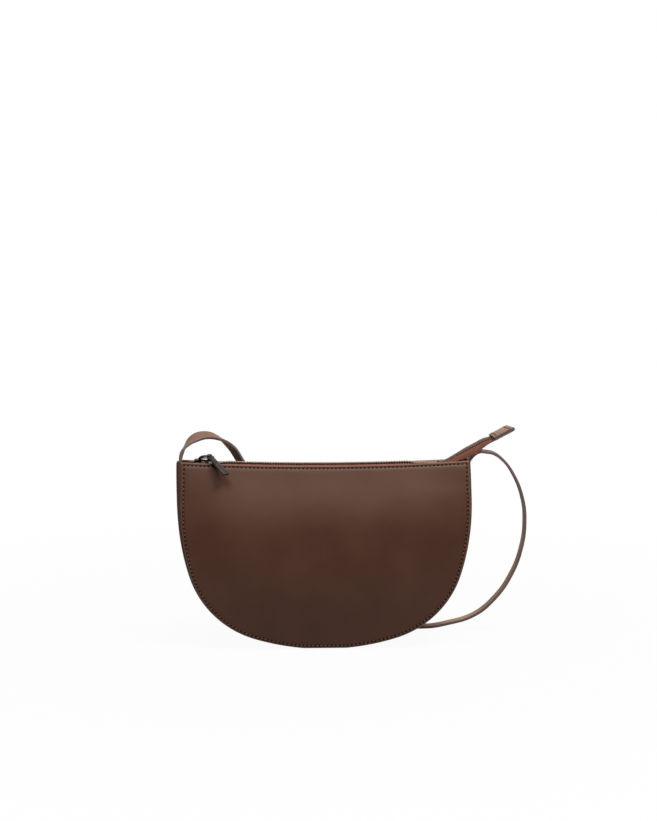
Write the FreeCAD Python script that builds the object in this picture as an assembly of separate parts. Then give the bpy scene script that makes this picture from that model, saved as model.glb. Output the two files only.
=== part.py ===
import FreeCAD, Part
import math
import os

# A half moon shoulder bag: two leather half moons on a tapered gusset, closed by a zip whose end runs out
# past the right corner as a loose tail, with a flat strap sewn into the two gusset ends.
# Millimetres and degrees. +X is the wearer's right in the front view, -Y the front face, +Z up.
# The origin is the middle of the flat foot that the bag stands on.

Vector = FreeCAD.Vector

# Shell outline, seen from the front
BAG_WIDTH = 250.0
BODY_HEIGHT = 157.5      # foot to the top corners
TOP_DIP = 3.5            # the mouth's edge hangs this much lower in the middle
SIDE_STRAIGHT = 32.0     # straight stretch of each side, below the corner
SIDE_RADIUS = 200.0
HIP_RADIUS = 84.0
BOTTOM_RADIUS = 200.0
FOOT_RISE = 0.8          # depth of the flat cut that makes the foot

# Shell section, seen from the side
DEPTH_FOOT = 58.0
DEPTH_BELLY = 64.0
BELLY_HEIGHT = 55.0
DEPTH_MOUTH = 16.0

# Layers
LEATHER = 1.4
BOARD = 1.2              # stiffener; the gusset's turned edges are skived to the same thickness
LINING = 0.5
TURNED_EDGE = 7.0        # width of the gusset's turned edges
EDGE_GAP = 0.3           # play between pieces that lie edge to edge

# Zip tape and teeth
ZIP_DROP = 1.0           # tape below the lowest point of the mouth's edge
TAPE = 0.7
TAPE_SEAM = 8.0          # tape sewn down behind the panel
TOOTH_PITCH = 2.2
TOOTH_LENGTH = 1.0
TOOTH_HEIGHT = 2.6
TOOTH_CROWN = 1.6        # height of the head's tip
TOOTH_REACH = 0.8        # head past the middle line
TOOTH_GRIP = 1.6         # legs along the tape
STOP_LENGTH = 2.4
STOP_GRIP = 2.0          # stop's legs along the tape
STOP_SPREAD = 0.4        # middle line to the stop's closed face

# Slider
SLIDER_INSET = 22.0      # left side of the bag to the slider's eye
SLIDER_LENGTH = 14.0
SLIDER_SHOULDER = 8.8
SLIDER_WAIST = 7.2
SLIDER_NOSE = 3.0
SLIDER_PLATE = 1.1
SLIDER_FLANGE = 0.8
SLIDER_PLAY = 0.15       # teeth to the channel's floor and roof
SLIDER_SLIT = 1.2
POST_WIDTH = 1.2
POST_LENGTH = 4.0
POST_INSET = 1.0
POST_TO_TEETH = 0.8
BRIDGE_LENGTH = 9.0
BRIDGE_HEIGHT = 4.6
BRIDGE_WIDTH = 1.2
BRIDGE_BAR = 1.0
BRIDGE_SILL = 0.6
BRIDGE_PILLAR = 1.2
BRIDGE_ROUND = 1.0
SLIDER_EDGE = 0.3

# Pull: an oval wire ring in the slider's eye, and a flat bar on the ring
RING_WIRE = 1.5
RING_RADIUS = 4.8
RING_STRAIGHT = 2.8
RING_SIDES = 12          # facets round the wire of the half rings
PULL_YAW = 50.0          # turn of the pull from +X towards the front
RING_LEAN = 28.0         # lean of the ring above level
RING_ROLL = 13.0         # roll of the ring about its own length, its left side up
BAR_REACH = 26.0         # hole to tip
BAR_TOP = 2.3            # radius of the barrel at the bar's head
BAR_HEAD_WIDTH = 3.0
BAR_TIP_WIDTH = 5.0
BAR_THICKNESS = 1.9
BAR_HOLE = 2.9
BAR_TIP_ROUND = 1.2
BAR_EDGE = 0.35
BAR_DROP = 30.5          # slope of the bar below level, where it rests on the panel's edge

# Zip tail past the right corner
TAIL_INSET = 27.0        # right side of the bag to the tail's root
TAIL_RISE = 26.0
TAIL_GAP = 0.4
TAIL_TAPE_WIDTH = 6.2    # each half, folded double
TAIL_TO_TAB = 51.0
TAB_LENGTH = 19.5
TAB_WIDTH = 16.0
TAB_GRIP = 9.0           # tape held inside the tab
TAB_POCKET = 2.6         # gap between the tab's two layers
TAB_CORNER = 2.0

# Strap
STRAP_WIDTH = 10.0
STRAP_THICKNESS = 2.4
STRAP_SEAT = 18.0        # strap sewn between the gusset and its lining
STRAP_RISE = 7.0         # the strap bends this far above the top corners
STRAP_BEND = 6.4         # bend of the right strap end, at the middle of the strap
STRAP_END_RUN = 15.0     # right strap end, from its seat to where the free strap starts
STRAP_SECTIONS = 44

STRAP_CLEARANCE = 3.0    # back panel's belly to the strap that hangs behind it

# Stations of the free strap from the left end to the right: shares of the half width, of the strap's distance
# behind the middle plane where it passes the belly, and of the body height.
STRAP_ROUTE_SHARES = (
    (-0.955, 0.04, 1.078),
    (-0.900, 0.13, 1.112),
    (-0.826, 0.26, 1.128),
    (-0.735, 0.42, 1.111),
    (-0.650, 0.56, 1.054),
    (-0.584, 0.68, 0.971),
    (-0.416, 0.86, 0.750),
    (-0.200, 0.98, 0.495),
    (0.040, 1.01, 0.267),
    (0.304, 1.01, 0.095),
    (0.520, 0.99, 0.030),
    (0.724, 0.98, 0.016),
    (0.881, 0.93, 0.038),
    (1.060, 0.82, 0.092),
    (1.183, 0.70, 0.185),
    (1.299, 0.58, 0.327),
    (1.370, 0.42, 0.500),
    (1.385, 0.31, 0.643),
    (1.362, 0.22, 0.770),
    (1.288, 0.11, 0.915),
    (1.205, 0.04, 1.000),
)

OVERRUN = 20.0           # how far cutting shapes run past what they cut

half_width = BAG_WIDTH / 2
above_bag = BODY_HEIGHT + OVERRUN
mouth_low = BODY_HEIGHT - TOP_DIP
zip_height = mouth_low - ZIP_DROP
zip_floor = zip_height - TAPE / 2
seat_depth = LEATHER + BOARD
lining_inset = LEATHER + STRAP_THICKNESS


def circle_through(first, second, third):
    """Centre and radius of the circle through three points of a plane."""
    (ax, ay), (bx, by), (cx, cy) = first, second, third
    a2 = ax * ax + ay * ay
    b2 = bx * bx + by * by
    c2 = cx * cx + cy * cy
    twice = 2 * (ax * (by - cy) + bx * (cy - ay) + cx * (ay - by))
    x = (a2 * (by - cy) + b2 * (cy - ay) + c2 * (ay - by)) / twice
    y = (a2 * (cx - bx) + b2 * (ax - cx) + c2 * (bx - ax)) / twice
    return x, y, math.hypot(ax - x, ay - y)


# The panels' section is one circle through the foot, the belly and the mouth.
section_y, section_z, section_radius = circle_through(
    (DEPTH_FOOT / 2, 0), (DEPTH_BELLY / 2, BELLY_HEIGHT), (DEPTH_MOUTH / 2, BODY_HEIGHT)
)


def half_depth(height, depth):
    """Distance from the middle plane to a panel layer at this height, depth millimetres in from its outer face."""
    rise = height - section_z
    return section_y + math.sqrt((section_radius - depth) ** 2 - rise * rise)


def section_arc(side, depth):
    """The section curve of one panel layer, on the YZ plane; side is -1 for the front and 1 for the back."""
    heights = (-OVERRUN, section_z, above_bag)
    points = [Vector(0, side * half_depth(z, depth), z) for z in heights]
    return Part.Arc(*points).toShape(), points[0], points[-1]


def line(start, end):
    return Part.LineSegment(start, end).toShape()


def across_bag(edges):
    """Extrude a closed YZ outline right across the bag."""
    face = Part.Face(Part.Wire(edges))
    face.translate(Vector(-half_width - OVERRUN, 0, 0))
    return face.extrude(Vector(BAG_WIDTH + 2 * OVERRUN, 0, 0))


def panel_layer(side, outer, inner):
    """A curved sheet between two depths of one panel."""
    arc_out, low_out, high_out = section_arc(side, outer)
    arc_in, low_in, high_in = section_arc(side, inner)
    return across_bag([arc_out, line(high_out, high_in), arc_in, line(low_in, low_out)])


def between_panels(depth):
    """The space between the two panels, from the same depth in each."""
    front, low_front, high_front = section_arc(-1, depth)
    back, low_back, high_back = section_arc(1, depth)
    return across_bag([front, line(high_front, high_back), back, line(low_back, low_front)])


def arc_about(centre, radius, start, end):
    """Arc on the XZ plane about a centre, between two angles from +X towards +Z."""
    points = []
    for angle in (start, (start + end) / 2, end):
        x = centre[0] + radius * math.cos(angle)
        z = centre[1] + radius * math.sin(angle)
        points.append(Vector(x, 0, z))
    return Part.Arc(*points).toShape(), points[0], points[-1]


def hip_centre(side_centre, bottom_centre):
    """Centre of the hip arc, which touches the side arc and the bottom arc from inside."""
    to_side = SIDE_RADIUS - HIP_RADIUS
    to_bottom = BOTTOM_RADIUS - HIP_RADIUS
    dx = bottom_centre[0] - side_centre[0]
    dz = bottom_centre[1] - side_centre[1]
    span = math.hypot(dx, dz)
    along = (to_side ** 2 - to_bottom ** 2 + span ** 2) / (2 * span)
    off = math.sqrt(to_side ** 2 - along ** 2)
    return (
        side_centre[0] + (along * dx + off * dz) / span,
        side_centre[1] + (along * dz - off * dx) / span,
    )


def rim_height(x):
    """Height of the mouth's edge, one arc that sags between the corners."""
    radius = (half_width ** 2 + TOP_DIP ** 2) / (2 * TOP_DIP)
    return mouth_low + radius - math.sqrt(radius ** 2 - x ** 2)


def half_moon(inset, top=None):
    """The bag's outline moved in by inset, as a solid right through the bag; top flattens it at a height."""
    side_centre = (half_width - SIDE_RADIUS, BODY_HEIGHT - SIDE_STRAIGHT)
    bottom_centre = (0, BOTTOM_RADIUS - FOOT_RISE)
    hip = hip_centre(side_centre, bottom_centre)
    low_turn = math.atan2(hip[1] - bottom_centre[1], hip[0] - bottom_centre[0])
    high_turn = math.atan2(hip[1] - side_centre[1], hip[0] - side_centre[0])
    foot_angle = math.asin((inset - bottom_centre[1]) / (BOTTOM_RADIUS - inset))
    bottom, foot_end, _ = arc_about(bottom_centre, BOTTOM_RADIUS - inset, foot_angle, low_turn)
    hip_arc, _, _ = arc_about(hip, HIP_RADIUS - inset, low_turn, high_turn)
    side, _, shoulder = arc_about(side_centre, SIDE_RADIUS - inset, high_turn, 0)
    corner = Vector(shoulder.x, 0, rim_height(shoulder.x) if top is None else top)
    other_corner = Vector(-corner.x, 0, corner.z)
    if top is None:
        rim = Part.Arc(corner, Vector(0, 0, mouth_low), other_corner).toShape()
    else:
        rim = line(corner, other_corner)
    right = [bottom, hip_arc, side, line(shoulder, corner)]
    left = [edge.mirror(Vector(0, 0, 0), Vector(1, 0, 0)) for edge in right]
    foot = line(Vector(-foot_end.x, 0, foot_end.z), foot_end)
    face = Part.Face(Part.Wire(Part.__sortEdges__([foot, rim] + right + left)))
    face.translate(Vector(0, -DEPTH_BELLY, 0))
    return face.extrude(Vector(0, 2 * DEPTH_BELLY, 0))


def box(low, high):
    """A box between two corners."""
    size = high - low
    return Part.makeBox(size.x, size.y, size.z, low)


def panel(side):
    return panel_layer(side, 0, LEATHER).common(half_moon(0))


def stiffener(side):
    board_top = zip_height - TAPE_SEAM - EDGE_GAP
    outline = half_moon(LEATHER + TURNED_EDGE + EDGE_GAP, board_top)
    return panel_layer(side, LEATHER, seat_depth).common(outline)


def panel_lining(side):
    outline = half_moon(lining_inset, zip_floor - EDGE_GAP)
    return panel_layer(side, seat_depth, seat_depth + LINING).common(outline)


def gusset():
    """One strip of leather: the web round the outline, and both edges turned in under the panels."""
    web = half_moon(0).cut(half_moon(LEATHER, above_bag)).common(between_panels(LEATHER))
    ring = half_moon(LEATHER).cut(half_moon(LEATHER + TURNED_EDGE, above_bag))
    turned = [panel_layer(side, LEATHER, seat_depth).common(ring) for side in (-1, 1)]
    return web.fuse(turned).removeSplitter()


def strap_seat(side, high):
    """The sewn stretch of a strap end, up to the height given."""
    outer = side * (half_width - LEATHER)
    inner = side * (half_width - LEATHER - STRAP_THICKNESS)
    low = Vector(min(outer, inner), -STRAP_WIDTH / 2, BODY_HEIGHT - STRAP_SEAT)
    return box(low, Vector(max(outer, inner), STRAP_WIDTH / 2, high))


def gusset_stiffener():
    """A strip on the gusset's inner face, with a pocket at each end for the strap."""
    ring = half_moon(LEATHER).cut(half_moon(lining_inset, above_bag))
    strip = ring.common(between_panels(seat_depth))
    return strip.cut([strap_seat(side, above_bag) for side in (-1, 1)])


def gusset_lining():
    top = zip_floor - EDGE_GAP
    ring = half_moon(lining_inset, top).cut(half_moon(lining_inset + LINING, above_bag))
    return ring.common(between_panels(seat_depth + LINING))


# Zip across the mouth
tape_start = -(half_width - LEATHER - TURNED_EDGE - EDGE_GAP)
tail_root = half_width - TAIL_INSET
tape_end = tail_root - TAIL_GAP
seam_depth = LEATHER + EDGE_GAP
eye_x = SLIDER_INSET - half_width
slider_left = eye_x - SLIDER_LENGTH / 2
teeth_start = slider_left + POST_INSET + POST_LENGTH + POST_TO_TEETH


def zip_seam(side):
    """The outer edge of one tape, turned down and sewn behind the panel."""
    strip = box(
        Vector(tape_start, -DEPTH_BELLY, zip_height - TAPE_SEAM),
        Vector(tape_end, DEPTH_BELLY, zip_floor),
    )
    return panel_layer(side, seam_depth, seam_depth + TAPE).common(strip)


def zip_tape(side):
    """One tape of the mouth, level from its seam behind the panel to the teeth."""
    edge = side * TOOTH_REACH
    outside = side * DEPTH_BELLY
    level = box(
        Vector(tape_start, min(edge, outside), zip_floor),
        Vector(tape_end, max(edge, outside), zip_height + TAPE / 2),
    )
    return level.common(between_panels(seam_depth))


def tooth(side, start, height):
    """A cast tooth: two legs that grip the tape's edge, tapering to a head that reaches past the middle."""
    heel = side * (TOOTH_REACH + TOOTH_GRIP)
    throat = side * TOOTH_REACH
    head = -side * TOOTH_REACH
    top = TOOTH_HEIGHT / 2
    crown = TOOTH_CROWN / 2
    slot = TAPE / 2
    outline = (
        (heel, top),
        (head, crown),
        (head, -crown),
        (heel, -top),
        (heel, -slot),
        (throat, -slot),
        (throat, slot),
        (heel, slot),
    )
    points = [Vector(start, y, height + z) for y, z in outline]
    face = Part.Face(Part.makePolygon(points + points[:1]))
    return face.extrude(Vector(TOOTH_LENGTH, 0, 0))


def tooth_row(side, start, end, height):
    """One row of teeth; the back row sits half a pitch along, so that the rows mesh."""
    first = start + (TOOTH_PITCH / 2 if side > 0 else 0)
    count = int((end - TOOTH_LENGTH - first) / TOOTH_PITCH) + 1
    return Part.makeCompound([tooth(side, first + i * TOOTH_PITCH, height) for i in range(count)])


def top_stop(side):
    """A small clamp on the tape's edge, left of the slider, that stops it at the closed end."""
    end = slider_left - EDGE_GAP
    nose = side * STOP_SPREAD
    edge = side * TOOTH_REACH
    heel = side * (TOOTH_REACH + STOP_GRIP)
    block = box(
        Vector(end - STOP_LENGTH, min(nose, heel), zip_height - TOOTH_HEIGHT / 2),
        Vector(end, max(nose, heel), zip_height + TOOTH_HEIGHT / 2),
    )
    slot = box(
        Vector(end - STOP_LENGTH, min(edge, heel), zip_floor),
        Vector(end, max(edge, heel), zip_height + TAPE / 2),
    )
    return block.cut(slot)


# Slider
channel = TOOTH_HEIGHT + 2 * SLIDER_PLAY
plate_top = zip_height + channel / 2 + SLIDER_PLATE
eye_z = plate_top + (BRIDGE_HEIGHT - BRIDGE_BAR + BRIDGE_SILL) / 2
eye = Vector(eye_x, 0, eye_z)


def slider_plan(trim, run_out):
    """Plan of the slider: broad shoulders at the leading end, narrowing to the waist where the zip leaves."""
    lead = eye_x - SLIDER_LENGTH / 2
    rear = eye_x + SLIDER_LENGTH / 2 + run_out
    shoulder = SLIDER_SHOULDER / 2 - trim
    waist = SLIDER_WAIST / 2 - trim
    broad = lead + SLIDER_NOSE
    nose = Part.Arc(
        Vector(broad, shoulder, 0), Vector(lead - run_out, 0, 0), Vector(broad, -shoulder, 0)
    ).toShape()
    edges = [
        nose,
        line(Vector(broad, -shoulder, 0), Vector(rear, -waist, 0)),
        line(Vector(rear, -waist, 0), Vector(rear, waist, 0)),
        line(Vector(rear, waist, 0), Vector(broad, shoulder, 0)),
    ]
    return Part.Face(Part.Wire(edges))


def slab(face, low, high):
    """Extrude a plan between two heights."""
    face.translate(Vector(0, 0, low))
    return face.extrude(Vector(0, 0, high - low))


def bridge():
    """The arch on the slider's upper wing, with the eye through it."""
    left = eye_x - BRIDGE_LENGTH / 2
    back = BRIDGE_WIDTH / 2
    arch = box(
        Vector(left, -back, plate_top), Vector(left + BRIDGE_LENGTH, back, plate_top + BRIDGE_HEIGHT)
    )
    crown = plate_top + BRIDGE_HEIGHT
    ends = [e for e in arch.Edges if e.BoundBox.ZMin > crown - EDGE_GAP and e.BoundBox.XLength < EDGE_GAP]
    arch = arch.makeFillet(BRIDGE_ROUND, ends)
    hole = box(
        Vector(left + BRIDGE_PILLAR, -back, plate_top + BRIDGE_SILL),
        Vector(left + BRIDGE_LENGTH - BRIDGE_PILLAR, back, crown - BRIDGE_BAR),
    )
    return arch.cut(hole)


def slider_body():
    """Two wings joined by the post at the leading end, with flanges that guide the teeth."""
    half = channel / 2 + SLIDER_PLATE
    body = slab(slider_plan(0, 0), zip_height - half, zip_height + half)
    rims = [e for e in body.Edges if e.BoundBox.ZLength < EDGE_GAP]
    body = body.makeChamfer(SLIDER_EDGE, rims)
    teeth_way = slab(
        slider_plan(SLIDER_FLANGE, OVERRUN), zip_height - channel / 2, zip_height + channel / 2
    )
    lead = eye_x - SLIDER_LENGTH
    slit = box(
        Vector(lead, -SLIDER_SHOULDER, zip_height - SLIDER_SLIT / 2),
        Vector(lead + 2 * SLIDER_LENGTH, SLIDER_SHOULDER, zip_height + SLIDER_SLIT / 2),
    )
    tip = slider_left + POST_INSET
    middle = tip + POST_LENGTH / 2
    corners = [
        Vector(tip, 0, 0),
        Vector(middle, -POST_WIDTH / 2, 0),
        Vector(tip + POST_LENGTH, 0, 0),
        Vector(middle, POST_WIDTH / 2, 0),
    ]
    diamond = Part.Face(Part.makePolygon(corners + corners[:1]))
    post = slab(diamond, zip_height - channel / 2, zip_height + channel / 2)
    return body.cut([teeth_way, slit]).fuse([post, bridge()]).removeSplitter()


# Pull
yaw = math.radians(PULL_YAW)
lean = math.radians(RING_LEAN)
drop = math.radians(BAR_DROP)
roll = math.radians(RING_ROLL)
pull_axis = Vector(math.sin(yaw), math.cos(yaw), 0)
pull_level = Vector(math.cos(yaw), -math.sin(yaw), 0)
ring_out = pull_level * math.cos(lean) + Vector(0, 0, math.sin(lean))
bar_along = pull_level * math.cos(drop) - Vector(0, 0, math.sin(drop))
bar_seat = eye + ring_out * (2 * RING_RADIUS)
ring_across = pull_axis * math.cos(roll) + pull_axis.cross(ring_out) * math.sin(roll)


def placed(shape, origin, along, normal):
    """Move a shape from the XY plane to an origin, with its X along one direction and its Z along another."""
    turn = FreeCAD.Rotation(along, normal.cross(along), normal, "XZY")
    shape.Placement = FreeCAD.Placement(origin, turn)
    return shape


def pull_ring():
    """A stadium of wire: two straight stretches that sit in the eye and the bar, joined by two half rings."""
    wire_radius = RING_WIRE / 2
    half_run = RING_STRAIGHT / 2
    turns = [2 * math.pi * (i + 0.5) / RING_SIDES for i in range(RING_SIDES)]
    pieces = []
    for height in (0, 2 * RING_RADIUS):
        start = Vector(-half_run, height, 0)
        pieces.append(Part.makeCylinder(wire_radius, RING_STRAIGHT, start, Vector(1, 0, 0)))
    for end, spin in ((half_run, 180), (-half_run, -180)):
        points = [Vector(end, wire_radius * math.cos(a), wire_radius * math.sin(a)) for a in turns]
        section = Part.Face(Part.makePolygon(points + points[:1]))
        pieces.append(section.revolve(Vector(end, RING_RADIUS, 0), Vector(0, 0, 1), spin))
    ring = pieces[0].fuse(pieces[1:]).removeSplitter()
    return placed(ring, eye, ring_across, ring_across.cross(ring_out))


def pull_bar():
    """A flat bar, broader at its tip, whose head is a barrel that turns on the ring."""
    head = BAR_HEAD_WIDTH / 2
    neck = head - BAR_EDGE
    tip = BAR_TIP_WIDTH / 2
    outline = [
        Vector(0, -neck, 0),
        Vector(BAR_REACH, -tip, 0),
        Vector(BAR_REACH, tip, 0),
        Vector(0, neck, 0),
    ]
    plan = Part.Face(Part.makePolygon(outline + outline[:1]))
    bar = slab(plan, -BAR_THICKNESS / 2, BAR_THICKNESS / 2)
    corners = [
        e for e in bar.Edges if e.BoundBox.XMin > BAR_REACH - BAR_EDGE and e.BoundBox.ZLength > BAR_EDGE
    ]
    bar = bar.makeFillet(BAR_TIP_ROUND, corners)
    rims = [e for e in bar.Edges if e.BoundBox.ZLength < BAR_EDGE and e.BoundBox.XMax > BAR_EDGE]
    bar = bar.makeChamfer(BAR_EDGE, rims)
    barrel = Part.makeCylinder(BAR_TOP, BAR_HEAD_WIDTH, Vector(0, -head, 0), Vector(0, 1, 0))
    ends = [e for e in barrel.Edges if e.BoundBox.YLength < BAR_EDGE]
    barrel = barrel.makeChamfer(BAR_EDGE, ends)
    hole = Part.makeCylinder(BAR_HOLE / 2, BAR_HEAD_WIDTH, Vector(0, -head, 0), Vector(0, 1, 0))
    bar = bar.fuse(barrel).cut(hole).removeSplitter()
    return placed(bar, bar_seat, bar_along, bar_along.cross(pull_axis))


# Zip tail, modelled level along +X from its root and then raised
def raised(shape):
    shape.rotate(Vector(0, 0, 0), Vector(0, -1, 0), TAIL_RISE)
    shape.translate(Vector(tail_root, 0, zip_height))
    return shape


def tail_tape(side):
    edge = side * TOOTH_REACH
    outer = side * TAIL_TAPE_WIDTH
    low = Vector(TAIL_GAP, min(edge, outer), -TAPE / 2)
    return raised(box(low, Vector(TAIL_TO_TAB + TAB_GRIP, max(edge, outer), TAPE / 2)))


def tail_teeth(side):
    return raised(tooth_row(side, TAIL_GAP, TAIL_TO_TAB - EDGE_GAP, 0))


def bottom_stop():
    """The clamp across both tapes that ends the zip, inside the tab and as thick as its pocket."""
    half_stop = TOOTH_REACH + TOOTH_GRIP
    start = TAIL_TO_TAB + TOOTH_LENGTH
    clamp = box(
        Vector(start, -half_stop, -TAB_POCKET / 2), Vector(start + STOP_LENGTH, half_stop, TAB_POCKET / 2)
    )
    slots = []
    for side in (-1, 1):
        inner = side * TOOTH_REACH
        outer = side * half_stop
        low = Vector(start, min(inner, outer), -TAPE / 2)
        slots.append(box(low, Vector(start + STOP_LENGTH, max(inner, outer), TAPE / 2)))
    return raised(clamp.cut(slots))


def fold(outer_end, half):
    """A long shape on the XZ plane with a half round end, run across the tab's width."""
    start = Vector(TAIL_TO_TAB, 0, -half)
    low = Vector(outer_end - half, 0, -half)
    high = Vector(outer_end - half, 0, half)
    back = Vector(TAIL_TO_TAB, 0, half)
    nose = Part.Arc(low, Vector(outer_end, 0, 0), high).toShape()
    face = Part.Face(Part.Wire([line(start, low), nose, line(high, back), line(back, start)]))
    face.translate(Vector(0, -TAB_WIDTH / 2, 0))
    return face.extrude(Vector(0, TAB_WIDTH, 0))


def zip_end_tab():
    """A strip of leather folded over the tape's end."""
    tab_end = TAIL_TO_TAB + TAB_LENGTH
    half = TAB_POCKET / 2
    tab = fold(tab_end, half + LEATHER).cut(fold(tab_end - LEATHER, half))
    outline = box(
        Vector(TAIL_TO_TAB - TAB_CORNER, -TAB_WIDTH / 2, -TAB_WIDTH),
        Vector(tab_end, TAB_WIDTH / 2, TAB_WIDTH),
    )
    uprights = [e for e in outline.Edges if e.BoundBox.ZLength > TAB_WIDTH and e.BoundBox.XMin > TAIL_TO_TAB]
    return raised(tab.common(outline.makeFillet(TAB_CORNER, uprights)))


# Strap
strap_root = half_width - LEATHER - STRAP_THICKNESS / 2
strap_bend_z = BODY_HEIGHT + STRAP_RISE


def left_strap_end():
    return strap_seat(-1, strap_bend_z)


def right_strap_end():
    """Up out of its seat, then bent outwards over the corner."""
    bend_start = strap_bend_z - STRAP_BEND
    seat = strap_seat(1, bend_start)
    centre = Vector(strap_root + STRAP_BEND, 0, bend_start)
    top = max(seat.Faces, key=lambda face: face.CenterOfMass.z)
    elbow = top.revolve(centre, Vector(0, 1, 0), 90)
    run = box(
        Vector(centre.x, -STRAP_WIDTH / 2, strap_bend_z - STRAP_THICKNESS / 2),
        Vector(strap_root + STRAP_END_RUN, STRAP_WIDTH / 2, strap_bend_z + STRAP_THICKNESS / 2),
    )
    return seat.fuse([elbow, run]).removeSplitter()


def strap_section(place, along):
    """The strap's rectangle across its path, with its width as near to front-to-back as the path allows."""
    depth = Vector(0, 1, 0)
    wide = (depth - along * depth.dot(along)).normalize()
    thick = along.cross(wide)
    corners = []
    for u, v in ((-1, -1), (1, -1), (1, 1), (-1, 1)):
        corners.append(place + wide * (u * STRAP_WIDTH / 2) + thick * (v * STRAP_THICKNESS / 2))
    return Part.makePolygon(corners + corners[:1])


def shoulder_strap():
    """The free strap, a loft through sections along a smooth route behind the bag."""
    behind = (DEPTH_BELLY + STRAP_WIDTH) / 2 + STRAP_CLEARANCE
    route = [Vector(-strap_root, 0, strap_bend_z)]
    for x_share, y_share, z_share in STRAP_ROUTE_SHARES:
        route.append(Vector(x_share * half_width, y_share * behind, z_share * BODY_HEIGHT))
    route.append(Vector(strap_root + STRAP_END_RUN, 0, strap_bend_z))
    path = Part.BSplineCurve()
    path.interpolate(route)
    spots = path.discretize(Number=STRAP_SECTIONS)
    inner = [strap_section(spot, path.tangent(path.parameter(spot))[0]) for spot in spots[1:-1]]
    first = strap_section(spots[0], Vector(0, 0, 1))
    last = strap_section(spots[-1], Vector(-1, 0, 0))
    print("free strap length", round(path.length(), 1))
    return Part.makeLoft([first] + inner + [last], True, True)


parts = {
    "front_panel": panel(-1),
    "back_panel": panel(1),
    "gusset": gusset(),
    "front_stiffener": stiffener(-1),
    "back_stiffener": stiffener(1),
    "gusset_stiffener": gusset_stiffener(),
    "front_lining": panel_lining(-1),
    "back_lining": panel_lining(1),
    "gusset_lining": gusset_lining(),
    "front_zip_seam": zip_seam(-1),
    "back_zip_seam": zip_seam(1),
    "front_zip_tape": zip_tape(-1),
    "back_zip_tape": zip_tape(1),
    "front_zip_teeth": tooth_row(-1, teeth_start, tape_end, zip_height),
    "back_zip_teeth": tooth_row(1, teeth_start, tape_end, zip_height),
    "front_top_stop": top_stop(-1),
    "back_top_stop": top_stop(1),
    "slider_body": slider_body(),
    "pull_ring": pull_ring(),
    "pull_bar": pull_bar(),
    "front_tail_tape": tail_tape(-1),
    "back_tail_tape": tail_tape(1),
    "front_tail_teeth": tail_teeth(-1),
    "back_tail_teeth": tail_teeth(1),
    "bottom_stop": bottom_stop(),
    "zip_end_tab": zip_end_tab(),
    "left_strap_end": left_strap_end(),
    "right_strap_end": right_strap_end(),
    "shoulder_strap": shoulder_strap(),
}

os.makedirs("parts", exist_ok=True)
for name, shape in parts.items():
    shape.exportStep(os.path.join("parts", name + ".step"))
    print(name, len(shape.Solids), shape.isValid(), round(shape.Volume, 1))

print("slider eye", [round(v, 4) for v in eye])
print("bar seat", [round(v, 4) for v in bar_seat])
print("pull axis", [round(v, 6) for v in pull_axis])
print("tail root", round(tail_root, 3), round(zip_height, 3))
print("strap bend height", round(strap_bend_z, 3))
print("lip fold", round(half_depth(zip_height, LEATHER), 3), round(zip_height, 3))
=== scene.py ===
# %% [markdown]
# # Half moon bag
# A small shoulder bag of smooth brown leather: two half moon panels sewn on a gusset strip, a zip across
# the mouth whose end runs out as a loose tail, and a flat strap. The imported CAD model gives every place
# and every hinge, and this lesson dresses it. Lengths are written in millimetres, and MM turns them to
# metres.

# %% Load the frame
import bisect
import math

import bmesh
import bpy
from mathutils import Matrix, Vector
from mathutils.geometry import intersect_sphere_sphere_2d
from mathutils.kdtree import KDTree


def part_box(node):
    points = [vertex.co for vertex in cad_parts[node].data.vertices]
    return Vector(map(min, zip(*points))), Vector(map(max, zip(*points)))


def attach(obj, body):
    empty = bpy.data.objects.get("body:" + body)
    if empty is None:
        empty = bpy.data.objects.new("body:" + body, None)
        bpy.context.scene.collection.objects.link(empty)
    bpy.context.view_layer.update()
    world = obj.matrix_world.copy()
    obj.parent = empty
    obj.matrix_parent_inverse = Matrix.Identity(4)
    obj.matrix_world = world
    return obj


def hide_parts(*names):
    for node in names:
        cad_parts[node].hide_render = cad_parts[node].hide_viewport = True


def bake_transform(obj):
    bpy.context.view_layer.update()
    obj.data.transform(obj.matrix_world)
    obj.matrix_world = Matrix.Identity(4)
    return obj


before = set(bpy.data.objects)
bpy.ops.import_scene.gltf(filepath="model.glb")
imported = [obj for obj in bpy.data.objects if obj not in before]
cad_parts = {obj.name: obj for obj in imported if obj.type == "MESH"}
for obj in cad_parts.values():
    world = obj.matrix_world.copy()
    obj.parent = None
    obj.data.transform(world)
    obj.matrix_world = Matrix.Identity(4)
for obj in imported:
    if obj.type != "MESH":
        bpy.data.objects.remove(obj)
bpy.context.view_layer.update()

MM = 0.001
RIGHT = Vector((1.0, 0.0, 0.0))
BACK = Vector((0.0, 1.0, 0.0))
UP = Vector((0.0, 0.0, 1.0))
bpy.ops.object.select_all(action="DESELECT")
print("CAD nodes:", len(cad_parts))

# %% [markdown]
# ## Working tools
# Three moves come back all through the lesson. A grid primitive is laid on a curved surface point by
# point, as a pattern cutter lays leather on a last. A modifier is set and applied at once. A small part
# that repeats is modelled once, and its copies are set in a row as one mesh. All this could be done by
# hand in the window, but as helpers the moves keep the later cells short.

# %% Tools for laying sheets
def at(x, y, z):
    return Vector((x, y, z)) * MM


def pick(piece):
    bpy.ops.object.select_all(action="DESELECT")
    piece.select_set(True)
    bpy.context.view_layer.objects.active = piece


def name_piece(piece, name):
    piece.name = name
    piece.data.name = name
    return piece


def add_primitive(name, add, **sizes):
    bpy.ops.object.select_all(action="DESELECT")
    add(**sizes)
    return name_piece(bpy.context.object, name)


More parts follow.
